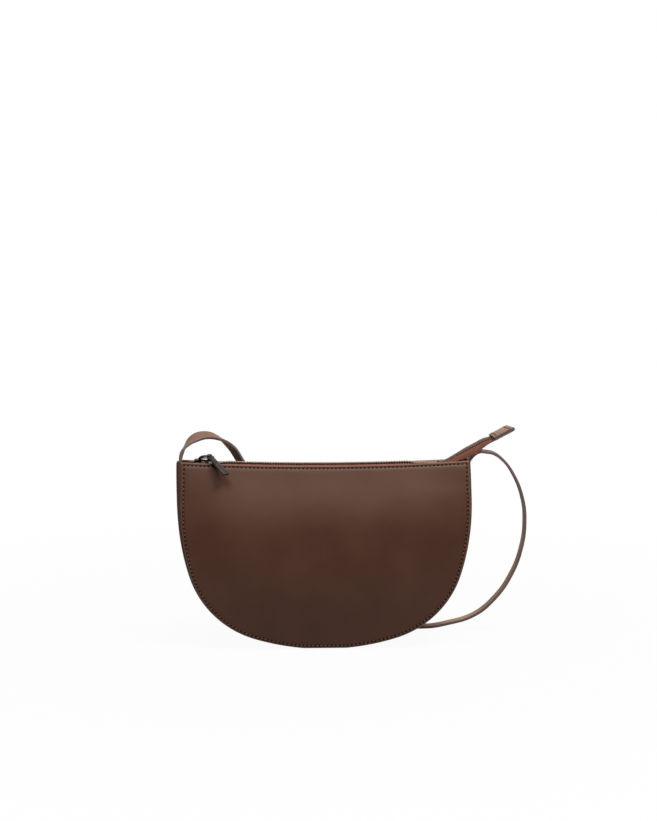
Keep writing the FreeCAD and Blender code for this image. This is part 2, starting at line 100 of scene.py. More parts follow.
def lay_sheet(name, columns, rows, place):
    """Lay a grid on a surface: place gives the point for a share along and a share across."""
    piece = add_primitive(name, bpy.ops.mesh.primitive_grid_add, size=1,
                          x_subdivisions=columns, y_subdivisions=rows)
    for point in piece.data.vertices:
        point.co = place(point.co.x + 0.5, point.co.y + 0.5)
    return piece


print("one metre along x:", at(1.0 / MM, 0.0, 0.0).x)

# %% Tools for shaping and finishing a piece
SHARP_EDGE = 30.0
SMOOTH_SHEET = 50.0
SMOOTH_TUBE = 60.0
SMOOTH_METAL = 35.0


def apply_modifier(piece, kind, **settings):
    pick(piece)
    modifier = piece.modifiers.new(kind.title(), kind)
    for key, value in settings.items():
        setattr(modifier, key, value)
    bpy.ops.object.modifier_apply(modifier=modifier.name)
    return piece


def thicken(piece, thickness, side):
    return apply_modifier(piece, "SOLIDIFY", thickness=thickness * MM, offset=side, use_even_offset=True)


def round_edges(piece, width, segments, angle=SHARP_EDGE):
    return apply_modifier(piece, "BEVEL", width=width * MM, segments=segments, limit_method="ANGLE",
                          angle_limit=math.radians(angle))


def smooth(piece, angle):
    pick(piece)
    bpy.ops.object.shade_smooth_by_angle(angle=math.radians(angle))
    return piece


def in_edit_mode(piece, work):
    pick(piece)
    bpy.ops.object.mode_set(mode="EDIT")
    bpy.ops.mesh.select_all(action="SELECT")
    work()
    bpy.ops.object.mode_set(mode="OBJECT")
    return piece


def stretch(piece, sizes):
    return in_edit_mode(piece, lambda: bpy.ops.transform.resize(value=sizes))


def turn_faces(piece):
    return in_edit_mode(piece, bpy.ops.mesh.flip_normals)


def face_along(piece, way):
    """Turn the faces over if, on the whole, they look against the way given for each place."""
    if sum(face.normal.dot(way(face.center)) * face.area for face in piece.data.polygons) < 0:
        turn_faces(piece)
    return piece


print("edges sharper than this are rounded, degrees:", SHARP_EDGE)


# %% Tools for rows of copies
def row_of_copies(name, seed, places):
    rows = bmesh.new()
    for place in places:
        copy = seed.data.copy()
        copy.transform(place)
        rows.from_mesh(copy)
        bpy.data.meshes.remove(copy)
    piece = bpy.data.objects.new(name, bpy.data.meshes.new(name))
    bpy.context.scene.collection.objects.link(piece)
    rows.to_mesh(piece.data)
    rows.free()
    return piece


def stand_on(place, along, out):
    out = out.normalized()
    along = (along - out * along.dot(out)).normalized()
    across = out.cross(along)
    turn = Matrix((along, across, out)).transposed().to_4x4()
    return Matrix.Translation(place) @ turn


print("height of a copy that stands on z 1:", stand_on(UP, RIGHT, UP).translation.z)


# %% Tools for lines and soft ramps
def runs_of(line):
    """Distance along a line to each of its points."""
    runs = [0.0]
    for before, after in zip(line, line[1:]):
        runs.append(runs[-1] + (after - before).length)
    return runs


def step_at(runs, run):
    """Step of a line that holds this run, and the share of the step that lies before it."""
    k = min(max(bisect.bisect(runs, run), 1), len(runs) - 1)
    return k, (run - runs[k - 1]) / (runs[k] - runs[k - 1])


def ease(share):
    share = min(max(share, 0.0), 1.0)
    return share * share * (3.0 - 2.0 * share)


def between(stations, where):
    """Value at a place between stations, each a place and its value."""
    if where <= stations[0][0]:
        return stations[0][1]
    for (low, a), (high, b) in zip(stations, stations[1:]):
        if where <= high:
            return a + (b - a) * ease((where - low) / (high - low))
    return stations[-1][1]


print("soft ramp at a quarter and a half:", ease(0.25), ease(0.5))

# %% [markdown]
# ## The half moon's lines
# The outline is drawn with few radii, as on the card pattern: straight sides, a wide side curve, a
# tighter hip and a wide bottom that stands on a short flat foot. The panels bow out to the belly and lean
# in to the mouth. A curve object could hold this line, but points in code can be asked for a place and a
# direction anywhere along the seam, as the stitches need. These are the CAD's own sizes, so every sheet
# that follows lies on the frame.

# %% Outline of the bag
HALF_WIDTH = 125.0
CORNER_HEIGHT = 157.5
MOUTH_LOW = 154.0
SIDE_STRAIGHT = 32.0
SIDE_RADIUS = 200.0
HIP_RADIUS = 84.0
BOTTOM_RADIUS = 200.0
FOOT_RISE = 0.8
PATH_STEP = 0.25
NORMAL_REACH = 1.5

dip = CORNER_HEIGHT - MOUTH_LOW
rim_radius = (HALF_WIDTH ** 2 + dip ** 2) / (2 * dip)
side_centre = Vector((HALF_WIDTH - SIDE_RADIUS, CORNER_HEIGHT - SIDE_STRAIGHT))
bottom_centre = Vector((0.0, BOTTOM_RADIUS - FOOT_RISE))
hip_choices = intersect_sphere_sphere_2d(side_centre, SIDE_RADIUS - HIP_RADIUS,
                                         bottom_centre, BOTTOM_RADIUS - HIP_RADIUS)
hip_centre = max(hip_choices, key=lambda centre: centre.x)
side_turn = math.atan2(hip_centre.y - side_centre.y, hip_centre.x - side_centre.x)
hip_turn = math.atan2(hip_centre.y - bottom_centre.y, hip_centre.x - bottom_centre.x)
foot_turn = math.acos((BOTTOM_RADIUS - FOOT_RISE) / BOTTOM_RADIUS) - math.pi / 2


def rim_height(x):
    return MOUTH_LOW + rim_radius - math.sqrt(rim_radius ** 2 - x ** 2)


def arc_points(centre, radius, start, end):
    steps = int(abs(end - start) * radius / PATH_STEP) + 2
    turns = [start + (end - start) * k / steps for k in range(1, steps + 1)]
    return [Vector((centre.x + radius * math.cos(a), centre.y + radius * math.sin(a))) for a in turns]


straight_points = int(SIDE_STRAIGHT / PATH_STEP) + 1
right_side = [Vector((HALF_WIDTH, CORNER_HEIGHT - PATH_STEP * k)) for k in range(straight_points)]
right_side += arc_points(side_centre, SIDE_RADIUS, 0.0, side_turn)
right_side += arc_points(hip_centre, HIP_RADIUS, side_turn, hip_turn)
right_side += arc_points(bottom_centre, BOTTOM_RADIUS, hip_turn, foot_turn)
seam_path = [Vector((-point.x, point.y)) for point in right_side] + right_side[::-1]
seam_runs = runs_of(seam_path)
SEAM = seam_runs[-1]
print("seam round the bag, mm:", round(SEAM, 1))


# %% Points and directions along the outline
def seam_point(run):
    k, share = step_at(seam_runs, min(max(run, 0.0), SEAM))
    return seam_path[k - 1].lerp(seam_path[k], share)


def seam_out(run):
    way = seam_point(run + NORMAL_REACH) - seam_point(run - NORMAL_REACH)
    return Vector((way.y, -way.x)).normalized()


print("middle of the seam, mm:", [round(value, 1) for value in seam_point(SEAM / 2)])

# %% Depth of the bag at each height
DEPTH_FOOT = 58.0
DEPTH_BELLY = 64.0
BELLY_HEIGHT = 55.0
DEPTH_MOUTH = 16.0


def circle_through(a, b, c):
    ab = (b - a, (b.length_squared - a.length_squared) / 2)
    bc = (c - b, (c.length_squared - b.length_squared) / 2)
    cross = ab[0].x * bc[0].y - ab[0].y * bc[0].x
    x = (ab[1] * bc[0].y - bc[1] * ab[0].y) / cross
    y = (ab[0].x * bc[1] - bc[0].x * ab[1]) / cross
    centre = Vector((x, y))
    return centre, (a - centre).length


bow_centre, bow_radius = circle_through(Vector((DEPTH_FOOT / 2, 0.0)),
                                        Vector((DEPTH_BELLY / 2, BELLY_HEIGHT)),
                                        Vector((DEPTH_MOUTH / 2, CORNER_HEIGHT)))


def half_depth(z):
    return bow_centre.x + math.sqrt(bow_radius ** 2 - (z - bow_centre.y) ** 2)


depths = [round(half_depth(z), 2) for z in (MOUTH_LOW, BELLY_HEIGHT)]
print("half depth at the mouth and belly, mm:", depths)

# %% [markdown]
# ## Front and back panels
# Each panel is one half moon of leather with its edge sewn down on the gusset. It could be a filled
# outline, but such a face has no rows to shape along the seam. So a grid is bent round into rings that
# run along the edge, with three points to a stitch, and the rolled edge and the sunk seam are real
# shapes. Its two ends are merged, a grid fill closes the middle, and every point is pushed out to the
# bag's bow. The gusset's roll stands a little outside the panel, so the panel is cut smaller than the
# bag.

# %% Rings along the panel's edge
STITCH_PITCH = 3.55
POINTS_PER_STITCH = 3
PANEL_INSETS_LEFT = ((0.0, 0.5), (40.0, 1.2), (CORNER_HEIGHT, 3.6))
PANEL_INSETS_RIGHT = ((0.0, 0.5), (40.0, 1.0), (CORNER_HEIGHT, 1.9))


def panel_inset(point):
    return between(PANEL_INSETS_LEFT if point.x < 0 else PANEL_INSETS_RIGHT, point.y)


panel_left = panel_inset(seam_path[0]) - HALF_WIDTH
panel_right = HALF_WIDTH - panel_inset(seam_path[-1])
side_stitches = round(SEAM / STITCH_PITCH)
top_stitches = round((panel_right - panel_left) / STITCH_PITCH)
side_stitches += (side_stitches + top_stitches) % 2
side_points = side_stitches * POINTS_PER_STITCH
top_points = top_stitches * POINTS_PER_STITCH
ring_points = side_points + top_points


def ring_point(k, margin):
    left = panel_left + margin
    right = panel_right - margin
    if k >= side_points:
        x = right + (left - right) * (k - side_points) / top_points
        return Vector((x, rim_height(x) - margin))
    start = CORNER_HEIGHT - rim_height(left) + margin
    end = SEAM - (CORNER_HEIGHT - rim_height(right) + margin)
    run = start + (end - start) * k / side_points
    point = seam_point(run)
    return point - seam_out(run) * (panel_inset(point) + margin)


print("stitches round the seam and along the mouth:", side_stitches, top_stitches)

# %% Seam shape: rolled edge, sunk stitches, puffed middle
LEATHER = 1.4
EDGE_ROLL = 1.1
EDGE_ROLL_DROP = 0.75
SEAM_IN = 2.3
SEAM_SINK = 0.26
SEAM_WIDTH = 0.75
SEAM_HOLE = 0.22
PUFF = 5.0
PUFF_REACH = 55.0
RING_MARGINS = (0.0, 0.3, 0.7, 1.1, 1.55, 1.95, 2.3, 2.65, 3.1, 4.0, 6.0, 9.0)
DENT_DEPTH = 0.35
DENT_PLACE = Vector((103.0, 141.0))
DENT_SPREAD = Vector((20.0, 9.0))


def tree_of(points):
    tree = KDTree(len(points))
    for k, spot in enumerate(points):
        tree.insert(spot.to_3d(), k)
    tree.balance()
    return tree


edge_tree = tree_of([ring_point(k, 0.0) for k in range(ring_points)])
side_tree = tree_of([ring_point(k, 0.0) for k in range(side_points + 1)])


def margin_at(x, z):
    return edge_tree.find((x, z, 0.0))[2]


def sunk_share(margin):
    return math.exp(-((margin - SEAM_IN) / SEAM_WIDTH) ** 2)


def rim_share(margin):
    return max(0.0, 1.0 - margin / EDGE_ROLL)


def panel_bow(x, z):
    """Depth of the panel's face: the bag's bow, its padded middle and one soft dent by the right corner."""
    from_side = side_tree.find((x, z, 0.0))[2]
    padding = PUFF * ease(from_side / PUFF_REACH) * ease((rim_height(x) - z) / PUFF_REACH)
    off = Vector(((x - DENT_PLACE.x) / DENT_SPREAD.x, (z - DENT_PLACE.y) / DENT_SPREAD.y))
    return half_depth(z) + padding - DENT_DEPTH * math.exp(-off.length_squared)


def seam_dent(margin, k):
    hole = 0.5 + 0.5 * math.cos(2 * math.pi * k / POINTS_PER_STITCH)
    return EDGE_ROLL_DROP * rim_share(margin) ** 2 + sunk_share(margin) * (SEAM_SINK + SEAM_HOLE * hole)


def panel_out(z):
    slope = (half_depth(z + NORMAL_REACH) - half_depth(z - NORMAL_REACH)) / (2 * NORMAL_REACH)
    return Vector((0.0, -1.0, -slope)).normalized()


print("depth of the padded middle, mm:", round(panel_bow(0.0, BELLY_HEIGHT), 1))

# %% Front panel
MERGE = 0.01
SPAN_SHARE = 4


def panel_band_place(u, v):
    k = round(u * ring_points) % ring_points
    margin = RING_MARGINS[round(v * (len(RING_MARGINS) - 1))]
    spot = ring_point(k, margin)
    return at(spot.x, seam_dent(margin, k) - panel_bow(spot.x, spot.y), spot.y)


def close_middle():
    bpy.ops.mesh.remove_doubles(threshold=MERGE * MM)
    bpy.ops.mesh.select_all(action="DESELECT")
    bpy.ops.mesh.select_mode(type="EDGE")
    rings = bmesh.from_edit_mesh(front_panel.data)
    for edge in rings.edges:
        middle = (edge.verts[0].co + edge.verts[1].co) / (2 * MM)
        edge.select_set(edge.is_boundary and margin_at(middle.x, middle.z) > SEAM_IN)
    bmesh.update_edit_mesh(front_panel.data)
    bpy.ops.mesh.fill_grid(span=ring_points // SPAN_SHARE)
    bpy.ops.mesh.select_mode(type="VERT")


def bow_middle(piece):
    # Shares kept on the points for the finish: a painted highlight on the rolled rim and painted shade in
    # the sunk seam.
    rim = piece.data.attributes.new("rim", "FLOAT", "POINT")
    sunk = piece.data.attributes.new("sunk", "FLOAT", "POINT")
    for k, point in enumerate(piece.data.vertices):
        margin = margin_at(point.co.x / MM, point.co.z / MM)
        rim.data[k].value = rim_share(margin)
        sunk.data[k].value = sunk_share(margin)
        if margin > RING_MARGINS[-1]:
            point.co.y = -panel_bow(point.co.x / MM, point.co.z / MM) * MM


front_panel = lay_sheet("front_leather_panel", ring_points, len(RING_MARGINS) - 1, panel_band_place)
in_edit_mode(front_panel, close_middle)
bow_middle(front_panel)
in_edit_mode(front_panel, bpy.ops.mesh.normals_make_consistent)
face_along(front_panel, lambda place: -BACK)
print("front panel faces before thickness:", len(front_panel.data.polygons))


# %% Thickness, and the back panel as its mirror
def mirrored(piece, name):
    twin = piece.copy()
    twin.data = piece.data.copy()
    bpy.context.scene.collection.objects.link(twin)
    name_piece(twin, name)
    twin.data.transform(Matrix.Scale(-1.0, 4, BACK))
    return turn_faces(twin)


thicken(front_panel, LEATHER, -1.0)
smooth(front_panel, SMOOTH_SHEET)
back_panel = mirrored(front_panel, "back_leather_panel")
print("panel triangles:", sum(len(face.vertices) - 2 for face in front_panel.data.polygons))

# %% [markdown]
# ## Gusset
# One leather strip runs down the left side, under the bag and up the right. Its edges turn in under the
# panels, so between the two panels it shows as a soft roll with a flat face. It could be extruded from
# the outline, but its width changes with the bag's depth. So a grid is laid along the outline and across
# the depth, then given its thickness.

# %% Gusset strip
GUSSET_COLUMNS = 280
GUSSET_ROWS = 20
GUSSET_LEATHER = 1.2
GUSSET_TUCK = 5.0
GUSSET_ROLL = 3.4
GUSSET_HOLLOW = 0.7
ROLL_ROWS = (0.0, 0.08, 0.2, 0.4, 0.7, 1.0)
UNDER_PANEL = 1.45
LEFT_CORNER_DROP = 1.0
FLARE = 1.3
FLARE_LOW = 105.0


def gusset_station(v, depth):
    """Distance in from the panel's edge, and place across the bag, at row v."""
    row = v * GUSSET_ROWS
    side = -1.0 if v < 0.5 else 1.0
    row = min(row, GUSSET_ROWS - row)
    if row < 1:
        return GUSSET_TUCK * (1.0 - row), side * depth
    row -= 1
    if row <= len(ROLL_ROWS) - 1:
        return 0.0, side * (depth - GUSSET_ROLL * ROLL_ROWS[round(row)])
    share = (row - len(ROLL_ROWS) + 1) / (GUSSET_ROWS / 2 - len(ROLL_ROWS))
    return 0.0, side * (depth - GUSSET_ROLL) * (1.0 - share)


def gusset_place(u, v):
    run = LEFT_CORNER_DROP + (SEAM - LEFT_CORNER_DROP) * u
    point = seam_point(run)
    inset = panel_inset(point)
    edge = point - seam_out(run) * inset
    depth = half_depth(edge.y) - UNDER_PANEL
    tuck, y = gusset_station(v, depth)
    curl = max(0.0, 1.0 - (depth - abs(y)) / GUSSET_ROLL)
    hollow = GUSSET_HOLLOW * (1.0 - (y / depth) ** 2) * ease(point.y / CORNER_HEIGHT)
    spot = point - seam_out(run) * (inset * (1.0 - math.sqrt(1.0 - curl ** 2)) + tuck + hollow)
    flare = FLARE * ease((point.y - FLARE_LOW) / (CORNER_HEIGHT - FLARE_LOW)) if point.x < 0 else 0.0
    return at(spot.x - flare * (1.0 - curl ** 2), y, spot.y)


gusset = lay_sheet("gusset_leather_strip", GUSSET_COLUMNS, GUSSET_ROWS, gusset_place)
face_along(gusset, lambda place: RIGHT * place.x)
thicken(gusset, GUSSET_LEATHER, -1.0)
smooth(gusset, SMOOTH_SHEET)
print("gusset faces:", len(gusset.data.polygons))

# %% [markdown]
# ## Lining
# Inside hangs a plain lining, seen only when the zip is open. Copies of the leather sheets could serve,
# but they are far finer than needed, because little of the lining shows. So two half moons and a strip
# are laid as coarse sheets, three layers in from the leather: leather, board and cloth together.

# %% Lining sheets
LAYERS = 3.1
LINING = 0.5
LINING_COLUMNS = 96
LINING_ROWS = 40
LINING_CROWD = 1.6
GUSSET_LINING_COLUMNS = 192
GUSSET_LINING_ROWS = 12
LINING_TOP = 2.4
LINING_FOOT = 3.4


def half_width_at(z):
    if z >= side_centre.y:
        return HALF_WIDTH
    side_low = side_centre.y + SIDE_RADIUS * math.sin(side_turn)
    if z >= side_low:
        return side_centre.x + math.sqrt(SIDE_RADIUS ** 2 - (z - side_centre.y) ** 2)
    hip_low = hip_centre.y + HIP_RADIUS * math.sin(hip_turn)
    if z >= hip_low:
        return hip_centre.x + math.sqrt(HIP_RADIUS ** 2 - (z - hip_centre.y) ** 2)
    return math.sqrt(BOTTOM_RADIUS ** 2 - (z - bottom_centre.y) ** 2)


def front_lining_place(u, v):
    z = LINING_FOOT + (CORNER_HEIGHT - LINING_FOOT) * v ** LINING_CROWD
    x = (2.0 * u - 1.0) * (half_width_at(z) - LAYERS)
    z = min(z, rim_height(x) - LINING_TOP)
    return at(x, -(half_depth(z) - LAYERS), z)


def gusset_lining_place(u, v):
    run = u * SEAM
    point = seam_point(run) - seam_out(run) * LAYERS
    z = min(point.y, rim_height(point.x) - LINING_TOP)
    return at(point.x, (2.0 * v - 1.0) * (half_depth(z) - LAYERS), z)


front_lining = lay_sheet("front_lining_sheet", LINING_COLUMNS, LINING_ROWS, front_lining_place)
face_along(front_lining, lambda place: BACK)
thicken(front_lining, LINING, 1.0)
smooth(front_lining, SMOOTH_SHEET)
back_lining = mirrored(front_lining, "back_lining_sheet")
gusset_lining = lay_sheet("gusset_lining_strip", GUSSET_LINING_COLUMNS, GUSSET_LINING_ROWS,
                          gusset_lining_place)
face_along(gusset_lining, lambda place: RIGHT * -place.x)
thicken(gusset_lining, LINING, 1.0)
smooth(gusset_lining, SMOOTH_SHEET)
print("lining pieces:", front_lining.name, back_lining.name, gusset_lining.name)

# %% [markdown]
# ## Stitches
# The seams are sewn with strong reddish thread. A bump in the leather's finish could hint at it, but real
# thread stands up and catches the light. So each stitch is a short fat thread that dives into a needle
# hole at both ends, a little aslant as a lockstitch lies. Each hole is a flat near-black disc on the
# leather, painted shade where the hole is. One thread and one disc are modelled, and their copies follow
# the sunk line of both panels.

# %% One stitch and the painted shade of one needle hole
THREAD_SIZE = (2.1, 0.8, 0.62)
THREAD_SEGMENTS = 8
THREAD_RINGS = 6
THREAD_SMOOTH = 80.0
HOLE_SIZE = (2.1, 1.5, 1.0)
HOLE_POINTS = 10
STITCH_SLANT = 9.0
THREAD_LIFT = 0.02
HOLE_LIFT = 0.1

thread_seed = add_primitive("thread_seed", bpy.ops.mesh.primitive_uv_sphere_add, segments=THREAD_SEGMENTS,
                            ring_count=THREAD_RINGS, radius=MM / 2, rotation=(0.0, math.pi / 2, 0.0))
bpy.ops.object.transform_apply(rotation=True)
stretch(thread_seed, THREAD_SIZE)
smooth(thread_seed, THREAD_SMOOTH)
# A needle hole is a flat dark disc laid on the leather: painted shade, as no hole is cut.
hole_shade_seed = add_primitive("hole_shade_seed", bpy.ops.mesh.primitive_circle_add, vertices=HOLE_POINTS,
                          radius=MM / 2, fill_type="TRIFAN")
stretch(hole_shade_seed, HOLE_SIZE)
print("faces of one stitch and hole:", len(thread_seed.data.polygons), len(hole_shade_seed.data.polygons))


# %% Stitches along the seam and along the mouth
def on_panel(spot, lift):
    return at(spot.x, SEAM_SINK - lift - panel_bow(spot.x, spot.y), spot.y)


def stitch_places(first, last):
    threads = []
    hole_shades = []
    for k in range(first, last, POINTS_PER_STITCH):
        start = ring_point(k, SEAM_IN)
        end = ring_point((k + POINTS_PER_STITCH) % ring_points, SEAM_IN)
        middle = (start + end) / 2
        out = panel_out(middle.y)
        slant = Matrix.Rotation(math.radians(STITCH_SLANT), 3, out)
        along = slant @ Vector((end.x - start.x, 0.0, end.y - start.y))
        threads.append(stand_on(on_panel(middle, THREAD_LIFT), along, out))
        hole_shades.append(stand_on(on_panel(start, HOLE_LIFT), along, panel_out(start.y)))
    return threads, hole_shades


side_threads, side_hole_shades = stitch_places(0, side_points)
top_threads, top_hole_shades = stitch_places(side_points, ring_points)
front_stitches = row_of_copies("front_seam_stitches", thread_seed, side_threads + top_threads)
front_hole_shades = row_of_copies("front_needle_hole_shades", hole_shade_seed, side_hole_shades + top_hole_shades)
back_stitches = mirrored(front_stitches, "back_seam_stitches")
back_hole_shades = mirrored(front_hole_shades, "back_needle_hole_shades")
print("stitches on each panel:", len(side_threads) + len(top_threads))

# %% [markdown]
# ## Zip
# Two woven tapes close the mouth, each sewn behind a panel and carrying a row of metal teeth. Each tape
# lies in two parts, as its inner part folds up when the zip opens, and this part is cut again at the
# middle. A tooth is a small bevelled block, copied in a row.

# %% Line of the zip
ZIP_HEIGHT = 153.0
LIP_FOLD = 8.427
TAPE = 0.7
TAPE_START = -119.0
TAPE_END = 97.6
TAPE_INNER = 1.5
TAPE_ARCH = 0.45
TAPE_SPLIT = 0.0
RISE_START = -97.0
RISE_END = 79.0
RISE_RAMP = 18.0
FALL_RAMP = 9.0
END_RISE = 2.8
END_RISE_START = -108.5
END_RISE_RAMP = 10.0


def zip_rise(x):
    """Height of the teeth over the zip's line: up to the mouth's edge, but low at both ends."""
    free = ease((x - RISE_START) / RISE_RAMP) * ease((RISE_END - x) / FALL_RAMP)
    end = END_RISE * ease((END_RISE_START - x) / END_RISE_RAMP)
    return TAPE_ARCH + free * (rim_height(x) - MOUTH_LOW) + end


print("rise of the teeth at both ends, mm:", [round(zip_rise(x), 2) for x in (TAPE_START, TAPE_END)])

# %% Shapes of the tapes and their cords
TAPE_COLUMNS = 60
SEAM_TAPE_COLUMNS = 120
TAPE_ROWS = 6
SEAM_TAPE_LOW = 146.0
SEAM_TAPE_BEHIND = 1.9
CORD_RADIUS = 0.9
CORD_LIFT = 0.5
CORD_BEHIND = 1.9
CORD_SIDES = 8


def lip_tape_place(start, end):
    def place(u, v):
        x = start + (end - start) * u
        y = -LIP_FOLD + (LIP_FOLD - TAPE_INNER) * v
        return at(x, y, ZIP_HEIGHT + zip_rise(x) * math.sin(math.pi / 2 * v))
    return place


def cord_place(start, end):
    def place(u, v):
        x = start + (end - start) * u
        turn = 2 * math.pi * v
        return at(x, CORD_RADIUS * math.cos(turn) - CORD_BEHIND,
                  ZIP_HEIGHT + zip_rise(x) + CORD_LIFT + CORD_RADIUS * math.sin(turn))
    return place


def seam_tape_place(u, v):
    x = TAPE_START + (TAPE_END - TAPE_START) * u
    z = SEAM_TAPE_LOW + (ZIP_HEIGHT - SEAM_TAPE_LOW) * v
    y = -(half_depth(z) - SEAM_TAPE_BEHIND)
    return at(x, y + (-LIP_FOLD - y) * ease(v), z)


print("foot of the sewn tape, m:", seam_tape_place(0.5, 0.0).to_tuple(4))


# %% Zip tapes
def finish_tape(piece):
    face_along(piece, lambda place: UP)
    thicken(piece, TAPE, 0.0)
    return smooth(piece, SMOOTH_SHEET)


def close_tube(piece):
    in_edit_mode(piece, lambda: bpy.ops.mesh.remove_doubles(threshold=MERGE * MM))
    in_edit_mode(piece, bpy.ops.mesh.normals_make_consistent)
    return smooth(piece, SMOOTH_TUBE)


def sew_together(pieces, name):
    pick(pieces[0])
    for piece in pieces:
        piece.select_set(True)
    bpy.ops.object.join()
    return name_piece(pieces[0], name)


def corded_tape(name, start, end):
    tape = finish_tape(lay_sheet(name, TAPE_COLUMNS, TAPE_ROWS, lip_tape_place(start, end)))
    cord = close_tube(lay_sheet(name + "_cord", TAPE_COLUMNS, CORD_SIDES, cord_place(start, end)))
    return sew_together([tape, cord], name)


front_tapes = [
    corded_tape("front_tape_left", TAPE_START, TAPE_SPLIT),
    corded_tape("front_tape_right", TAPE_SPLIT, TAPE_END),
]
front_seam_tape = finish_tape(lay_sheet("front_seam_tape", SEAM_TAPE_COLUMNS, TAPE_ROWS, seam_tape_place))
back_tapes = [mirrored(front_tapes[0], "back_tape_left"), mirrored(front_tapes[1], "back_tape_right")]
back_seam_tape = mirrored(front_seam_tape, "back_seam_tape")
print("tape pieces:", [piece.name for piece in front_tapes + back_tapes])

# %% One tooth
TOOTH_PITCH = 2.2
TOOTH_LENGTH = 1.1
TOOTH_HEIGHT = 3.0
TOOTH_LIFT = 0.55
TOOTH_BACK = 3.4
TOOTH_REACH = 0.7
TOOTH_ROUND = 0.28
TOOTH_STEPS = 1
TOOTH_SQUEEZE = 0.96

tooth_seed = add_primitive("tooth_seed", bpy.ops.mesh.primitive_cube_add, size=MM)
stretch(tooth_seed, (TOOTH_LENGTH, TOOTH_BACK + TOOTH_REACH, TOOTH_HEIGHT))
for point in tooth_seed.data.vertices:
    point.co.y += (TOOTH_REACH - TOOTH_BACK) / 2 * MM
    if point.co.y < -TOOTH_REACH * MM:
        point.co.z *= TOOTH_SQUEEZE
round_edges(tooth_seed, TOOTH_ROUND, TOOTH_STEPS)
smooth(tooth_seed, SHARP_EDGE)
print("faces of one tooth:", len(tooth_seed.data.polygons))

# %% Rows of teeth
TEETH_START = -104.0
STOP_PLACE = -106.5
STOP_SIZE = 1.9


def teeth_row(name, start, end, shift, extra):
    places = list(extra)
    x = start + shift
    while x < end - TOOTH_LENGTH / 2:
        places.append(Matrix.Translation(at(x, 0.0, ZIP_HEIGHT + zip_rise(x) + TOOTH_LIFT)))
        x += TOOTH_PITCH
    return row_of_copies(name, tooth_seed, places)


def back_teeth_row(name, start, end, extra):
    """Back teeth stand half a pitch on, so that they fit between the front ones."""
    draft = teeth_row(name + "_draft", start, end, TOOTH_PITCH / 2, extra)
    row = mirrored(draft, name)
    bpy.data.objects.remove(draft)
    return row


stop_place = Matrix.Translation(at(STOP_PLACE, -TOOTH_REACH, ZIP_HEIGHT + zip_rise(STOP_PLACE)))
stop_place = stop_place @ Matrix.Scale(STOP_SIZE, 4, RIGHT)
half_count = int((TAPE_SPLIT - TEETH_START) / TOOTH_PITCH)
middle_start = TEETH_START + half_count * TOOTH_PITCH
front_teeth = [
    teeth_row("front_teeth_left", TEETH_START, middle_start, 0.0, [stop_place]),
    teeth_row("front_teeth_right", middle_start, TAPE_END, 0.0, []),
]
back_teeth = [
    back_teeth_row("back_teeth_left", TEETH_START, middle_start, [stop_place]),
    back_teeth_row("back_teeth_right", middle_start, TAPE_END, []),
]
print("teeth faces in a row half:", len(front_teeth[0].data.polygons))

# %% [markdown]
# ## Pull
# A bent wire ring hangs in the slider's eye and carries a flat bar. Both lean out over the front panel,
# turned as the CAD has them. The ring could be a torus, but its wire has two straight sides, so it is a
# tube laid round a stadium. The slider stays as the CAD has it, and only its rounded crown is added. The
# bar starts as a cube, is subdivided, narrows to its neck, gets eased edges, and is joined to a barrel
# that wraps the wire.

# %% Pull ring
EYE = Vector((-103.0, 0.0, 157.65))
PULL_YAW = math.radians(50.0)
RING_LEAN = math.radians(28.0)
RING_ROLL = math.radians(13.0)
BAR_DROP = math.radians(30.5)
WIRE_RADIUS = 1.0
WIRE_SIDES = 12
RING_RADIUS = 4.8
RING_STRAIGHT = 2.8
RING_COLUMNS = 72
pull_axis = Vector((math.sin(PULL_YAW), math.cos(PULL_YAW), 0.0))
pull_level = Vector((math.cos(PULL_YAW), -math.sin(PULL_YAW), 0.0))
ring_out = pull_level * math.cos(RING_LEAN) + UP * math.sin(RING_LEAN)
ring_across = pull_axis * math.cos(RING_ROLL) + pull_axis.cross(ring_out) * math.sin(RING_ROLL)
ring_round = 2 * math.pi * RING_RADIUS + 2 * RING_STRAIGHT


def stadium(run):
    """Place and outward direction on the ring's middle line, across and out from the eye."""
    half = RING_STRAIGHT / 2
    bend = math.pi * RING_RADIUS
    if run < RING_STRAIGHT:
        return Vector((run - half, 0.0)), Vector((0.0, -1.0))
    if run < RING_STRAIGHT + bend:
        turn = (run - RING_STRAIGHT) / RING_RADIUS - math.pi / 2
        out = Vector((math.cos(turn), math.sin(turn)))
        return Vector((half, RING_RADIUS)) + out * RING_RADIUS, out
    if run < 2 * RING_STRAIGHT + bend:
        return Vector((half - (run - RING_STRAIGHT - bend), 2 * RING_RADIUS)), Vector((0.0, 1.0))
    turn = (run - 2 * RING_STRAIGHT - bend) / RING_RADIUS + math.pi / 2
    out = Vector((math.cos(turn), math.sin(turn)))
    return Vector((-half, RING_RADIUS)) + out * RING_RADIUS, out


def ring_place(u, v):
    place, out = stadium((u % 1.0) * ring_round)
    turn = 2 * math.pi * v
    flat = place + out * WIRE_RADIUS * math.cos(turn)
    normal = ring_across.cross(ring_out)
    return (EYE + ring_across * flat.x + ring_out * flat.y + normal * WIRE_RADIUS * math.sin(turn)) * MM


pull_ring = close_tube(lay_sheet("pull_ring_wire", RING_COLUMNS, WIRE_SIDES, ring_place))
print("pull ring faces:", len(pull_ring.data.polygons))

# %% Crown of the slider
CROWN_PLACE = Vector((-107.6, 0.0, 157.55))
CROWN_SIZE = Vector((6.4, 4.2, 3.4))
CROWN_ROUND = 1.3
CROWN_STEPS = 4
CROWN_SMOOTH = 40.0
crown = add_primitive("slider_crown", bpy.ops.mesh.primitive_cube_add, size=MM)
stretch(crown, CROWN_SIZE)
round_edges(crown, CROWN_ROUND, CROWN_STEPS)
crown.data.transform(Matrix.Translation(CROWN_PLACE * MM))
smooth(crown, CROWN_SMOOTH)
slider_box = [[round(value / MM, 1) for value in corner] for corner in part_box("slider_body")]
print("slider, mm:", slider_box)

